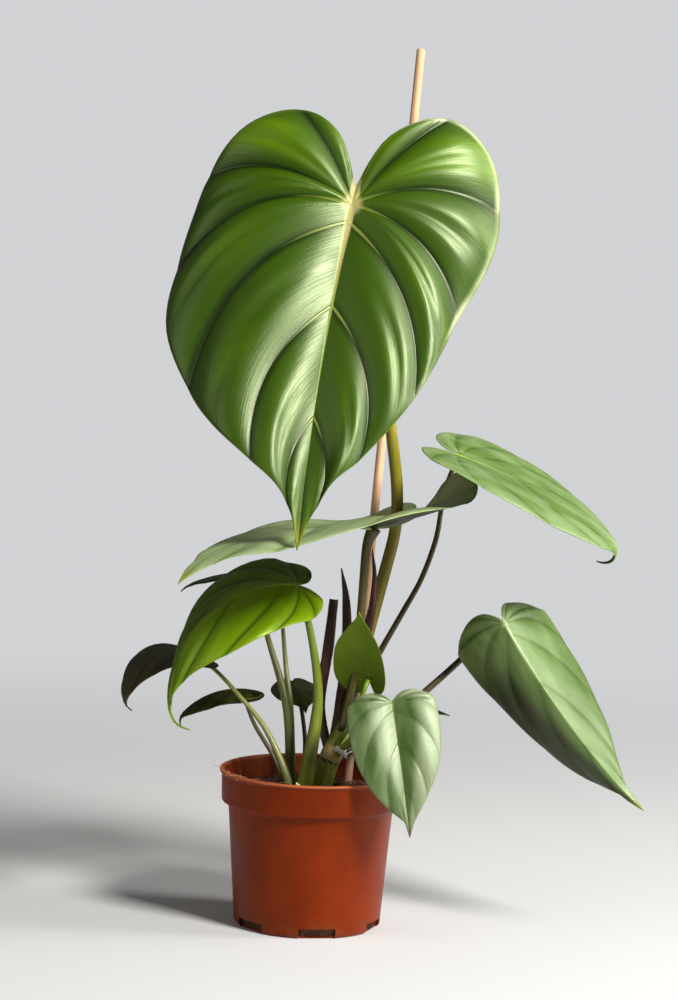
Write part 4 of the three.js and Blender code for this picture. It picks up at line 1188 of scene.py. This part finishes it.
def soil_piece(material):
    """The potful of peat: a fine uneven top with crumbs and coir, closed by plain sides and bottom."""
    rng = np.random.default_rng(SOIL_SEED)
    inset = POT_WALL + SOIL_GAP
    edge = COLLAR_RADIUS - inset - .4
    rings = [circle(body_radius(SOIL_FOOT) - inset, SOIL_FOOT, SOIL_SEGMENTS),
             circle(body_radius(BODY_TOP) - inset, BODY_TOP - 1.5, SOIL_SEGMENTS),
             circle(edge, COLLAR_FOOT + .5, SOIL_SEGMENTS)]
    for k in range(SOIL_RINGS):
        ring = circle(edge * (1 - k / SOIL_RINGS), SOIL_TOP, SOIL_SEGMENTS)
        ring[:, 2] = soil_height(ring[:, 0], ring[:, 1])
        rings.append(ring)
    points, faces = closed_stack(rings, (0, 0, SOIL_FOOT), (0, 0, soil_height(0.0, 0.0)[0]))
    shell = Shell()
    shell.add_points(points)
    for face in faces:
        shell.add_face(face)
    for _ in range(CRUMBS):
        add_crumb(shell, rng, edge)
    for _ in range(FIBRES):
        add_fibre(shell, rng, edge)
    for _ in range(RIM_FIBRES):
        add_rim_fibre(shell, rng)
    shell.piece("potting_soil", material)


# Stage


def add_light(name, place, target, width, height, power):
    data = bpy.data.lights.new(name, "AREA")
    data.shape, data.size, data.size_y, data.energy = "RECTANGLE", width, height, power
    light = bpy.data.objects.new(name, data)
    light.location = place
    light.rotation_euler = (Vector(target) - Vector(place)).to_track_quat("-Z", "Y").to_euler()
    bpy.context.scene.collection.objects.link(light)


def add_floor():
    """A wide pale floor that fades into the pale surroundings far from the pot."""
    mesh = bpy.data.meshes.new("floor")
    bm = bmesh.new()
    bmesh.ops.create_circle(bm, cap_ends=True, segments=96, radius=FLOOR_RADIUS)
    bm.to_mesh(mesh)
    bm.free()
    floor = bpy.data.objects.new("floor", mesh)
    bpy.context.scene.collection.objects.link(floor)
    n = Nodes("floor")
    mesh.materials.append(n.finish(FLOOR_TONE, .7, Specular_IOR_Level=.2))
    x, y, _ = n.split(n.place())
    clear = n.node("ShaderNodeBsdfTransparent")
    fade = n.step(n.reach(x, y), *FLOOR_FADE)
    mixed = n.node("ShaderNodeMixShader", {0: fade, 1: Value(n, n.shader.outputs[0]), 2: clear})
    n.feed(n.tree.nodes["Material Output"].inputs[0], mixed)


def add_camera():
    pitch, roll = math.radians(CAMERA_PITCH), math.radians(CAMERA_ROLL)
    forward = Vector((0, math.cos(pitch), -math.sin(pitch)))
    level_up = Vector((0, math.sin(pitch), math.cos(pitch)))
    level_right = Vector((1, 0, 0))
    right = level_right * math.cos(roll) + level_up * math.sin(roll)
    up = level_up * math.cos(roll) - level_right * math.sin(roll)
    data = bpy.data.cameras.new("camera")
    data.sensor_width = SENSOR
    data.sensor_fit = "AUTO"
    data.lens = CAMERA_FOCAL * SENSOR / PICTURE_HEIGHT
    data.clip_start = .05
    camera = bpy.data.objects.new("camera", data)
    turn = Matrix((right, up, -forward)).transposed().to_4x4()
    camera.matrix_world = Matrix.Translation(Vector(CAMERA_PLACE) * MM) @ turn
    bpy.context.scene.collection.objects.link(camera)
    bpy.context.scene.camera = camera


def add_world():
    """Plain pale surroundings, which light the plant less than they show."""
    world = bpy.data.worlds.new("studio")
    world.use_nodes = True
    tree = world.node_tree
    background = tree.nodes["Background"]
    background.inputs[0].default_value = (*BACKDROP, 1)
    seen = tree.nodes.new("ShaderNodeLightPath")
    strength = tree.nodes.new("ShaderNodeMapRange")
    strength.inputs[3].default_value = BACKDROP_LIGHT
    strength.inputs[4].default_value = BACKDROP_SEEN
    tree.links.new(seen.outputs["Is Camera Ray"], strength.inputs[0])
    tree.links.new(strength.outputs[0], background.inputs[1])
    bpy.context.scene.world = world
    bpy.context.scene.view_settings.view_transform = "Standard"


add_camera()
add_world()
add_floor()
for name, light in LIGHTS.items():
    add_light(name, *light)

for shape in LEAVES:
    lay(shape)
    leaf_piece(shape, leaf_material(shape))

for name, stops in STEMS.items():
    if name == "main_stem":
        stem_piece(name, [stops], stem_material(name, band=NODE_BAND))
    elif name == "aerial_root":
        stem_piece(name, [stops], stem_material(name, roughness=ROOT_ROUGHNESS), rounded=ROUNDED_RINGS)
    elif name == "basal_bud":
        stem_piece(name, [stops], stem_material(name), rounded=ROUNDED_RINGS)
    else:
        stem_piece(name, [stops], stem_material(name), swell=PETIOLE_SWELL)
stem_piece("side_shoot", SIDE_SHOOT, stem_material("side_shoot"), swell=SHOOT_SWELL)

sheath_surface = sheath_material()
for seed, (name, stops) in enumerate(SHEATHS.items(), FIRST_SHEATH_SEED):
    sheath_piece(name, stops, sheath_surface, seed)

stake_piece(stake_material())
pot_piece(pot_material())
soil_piece(soil_material())
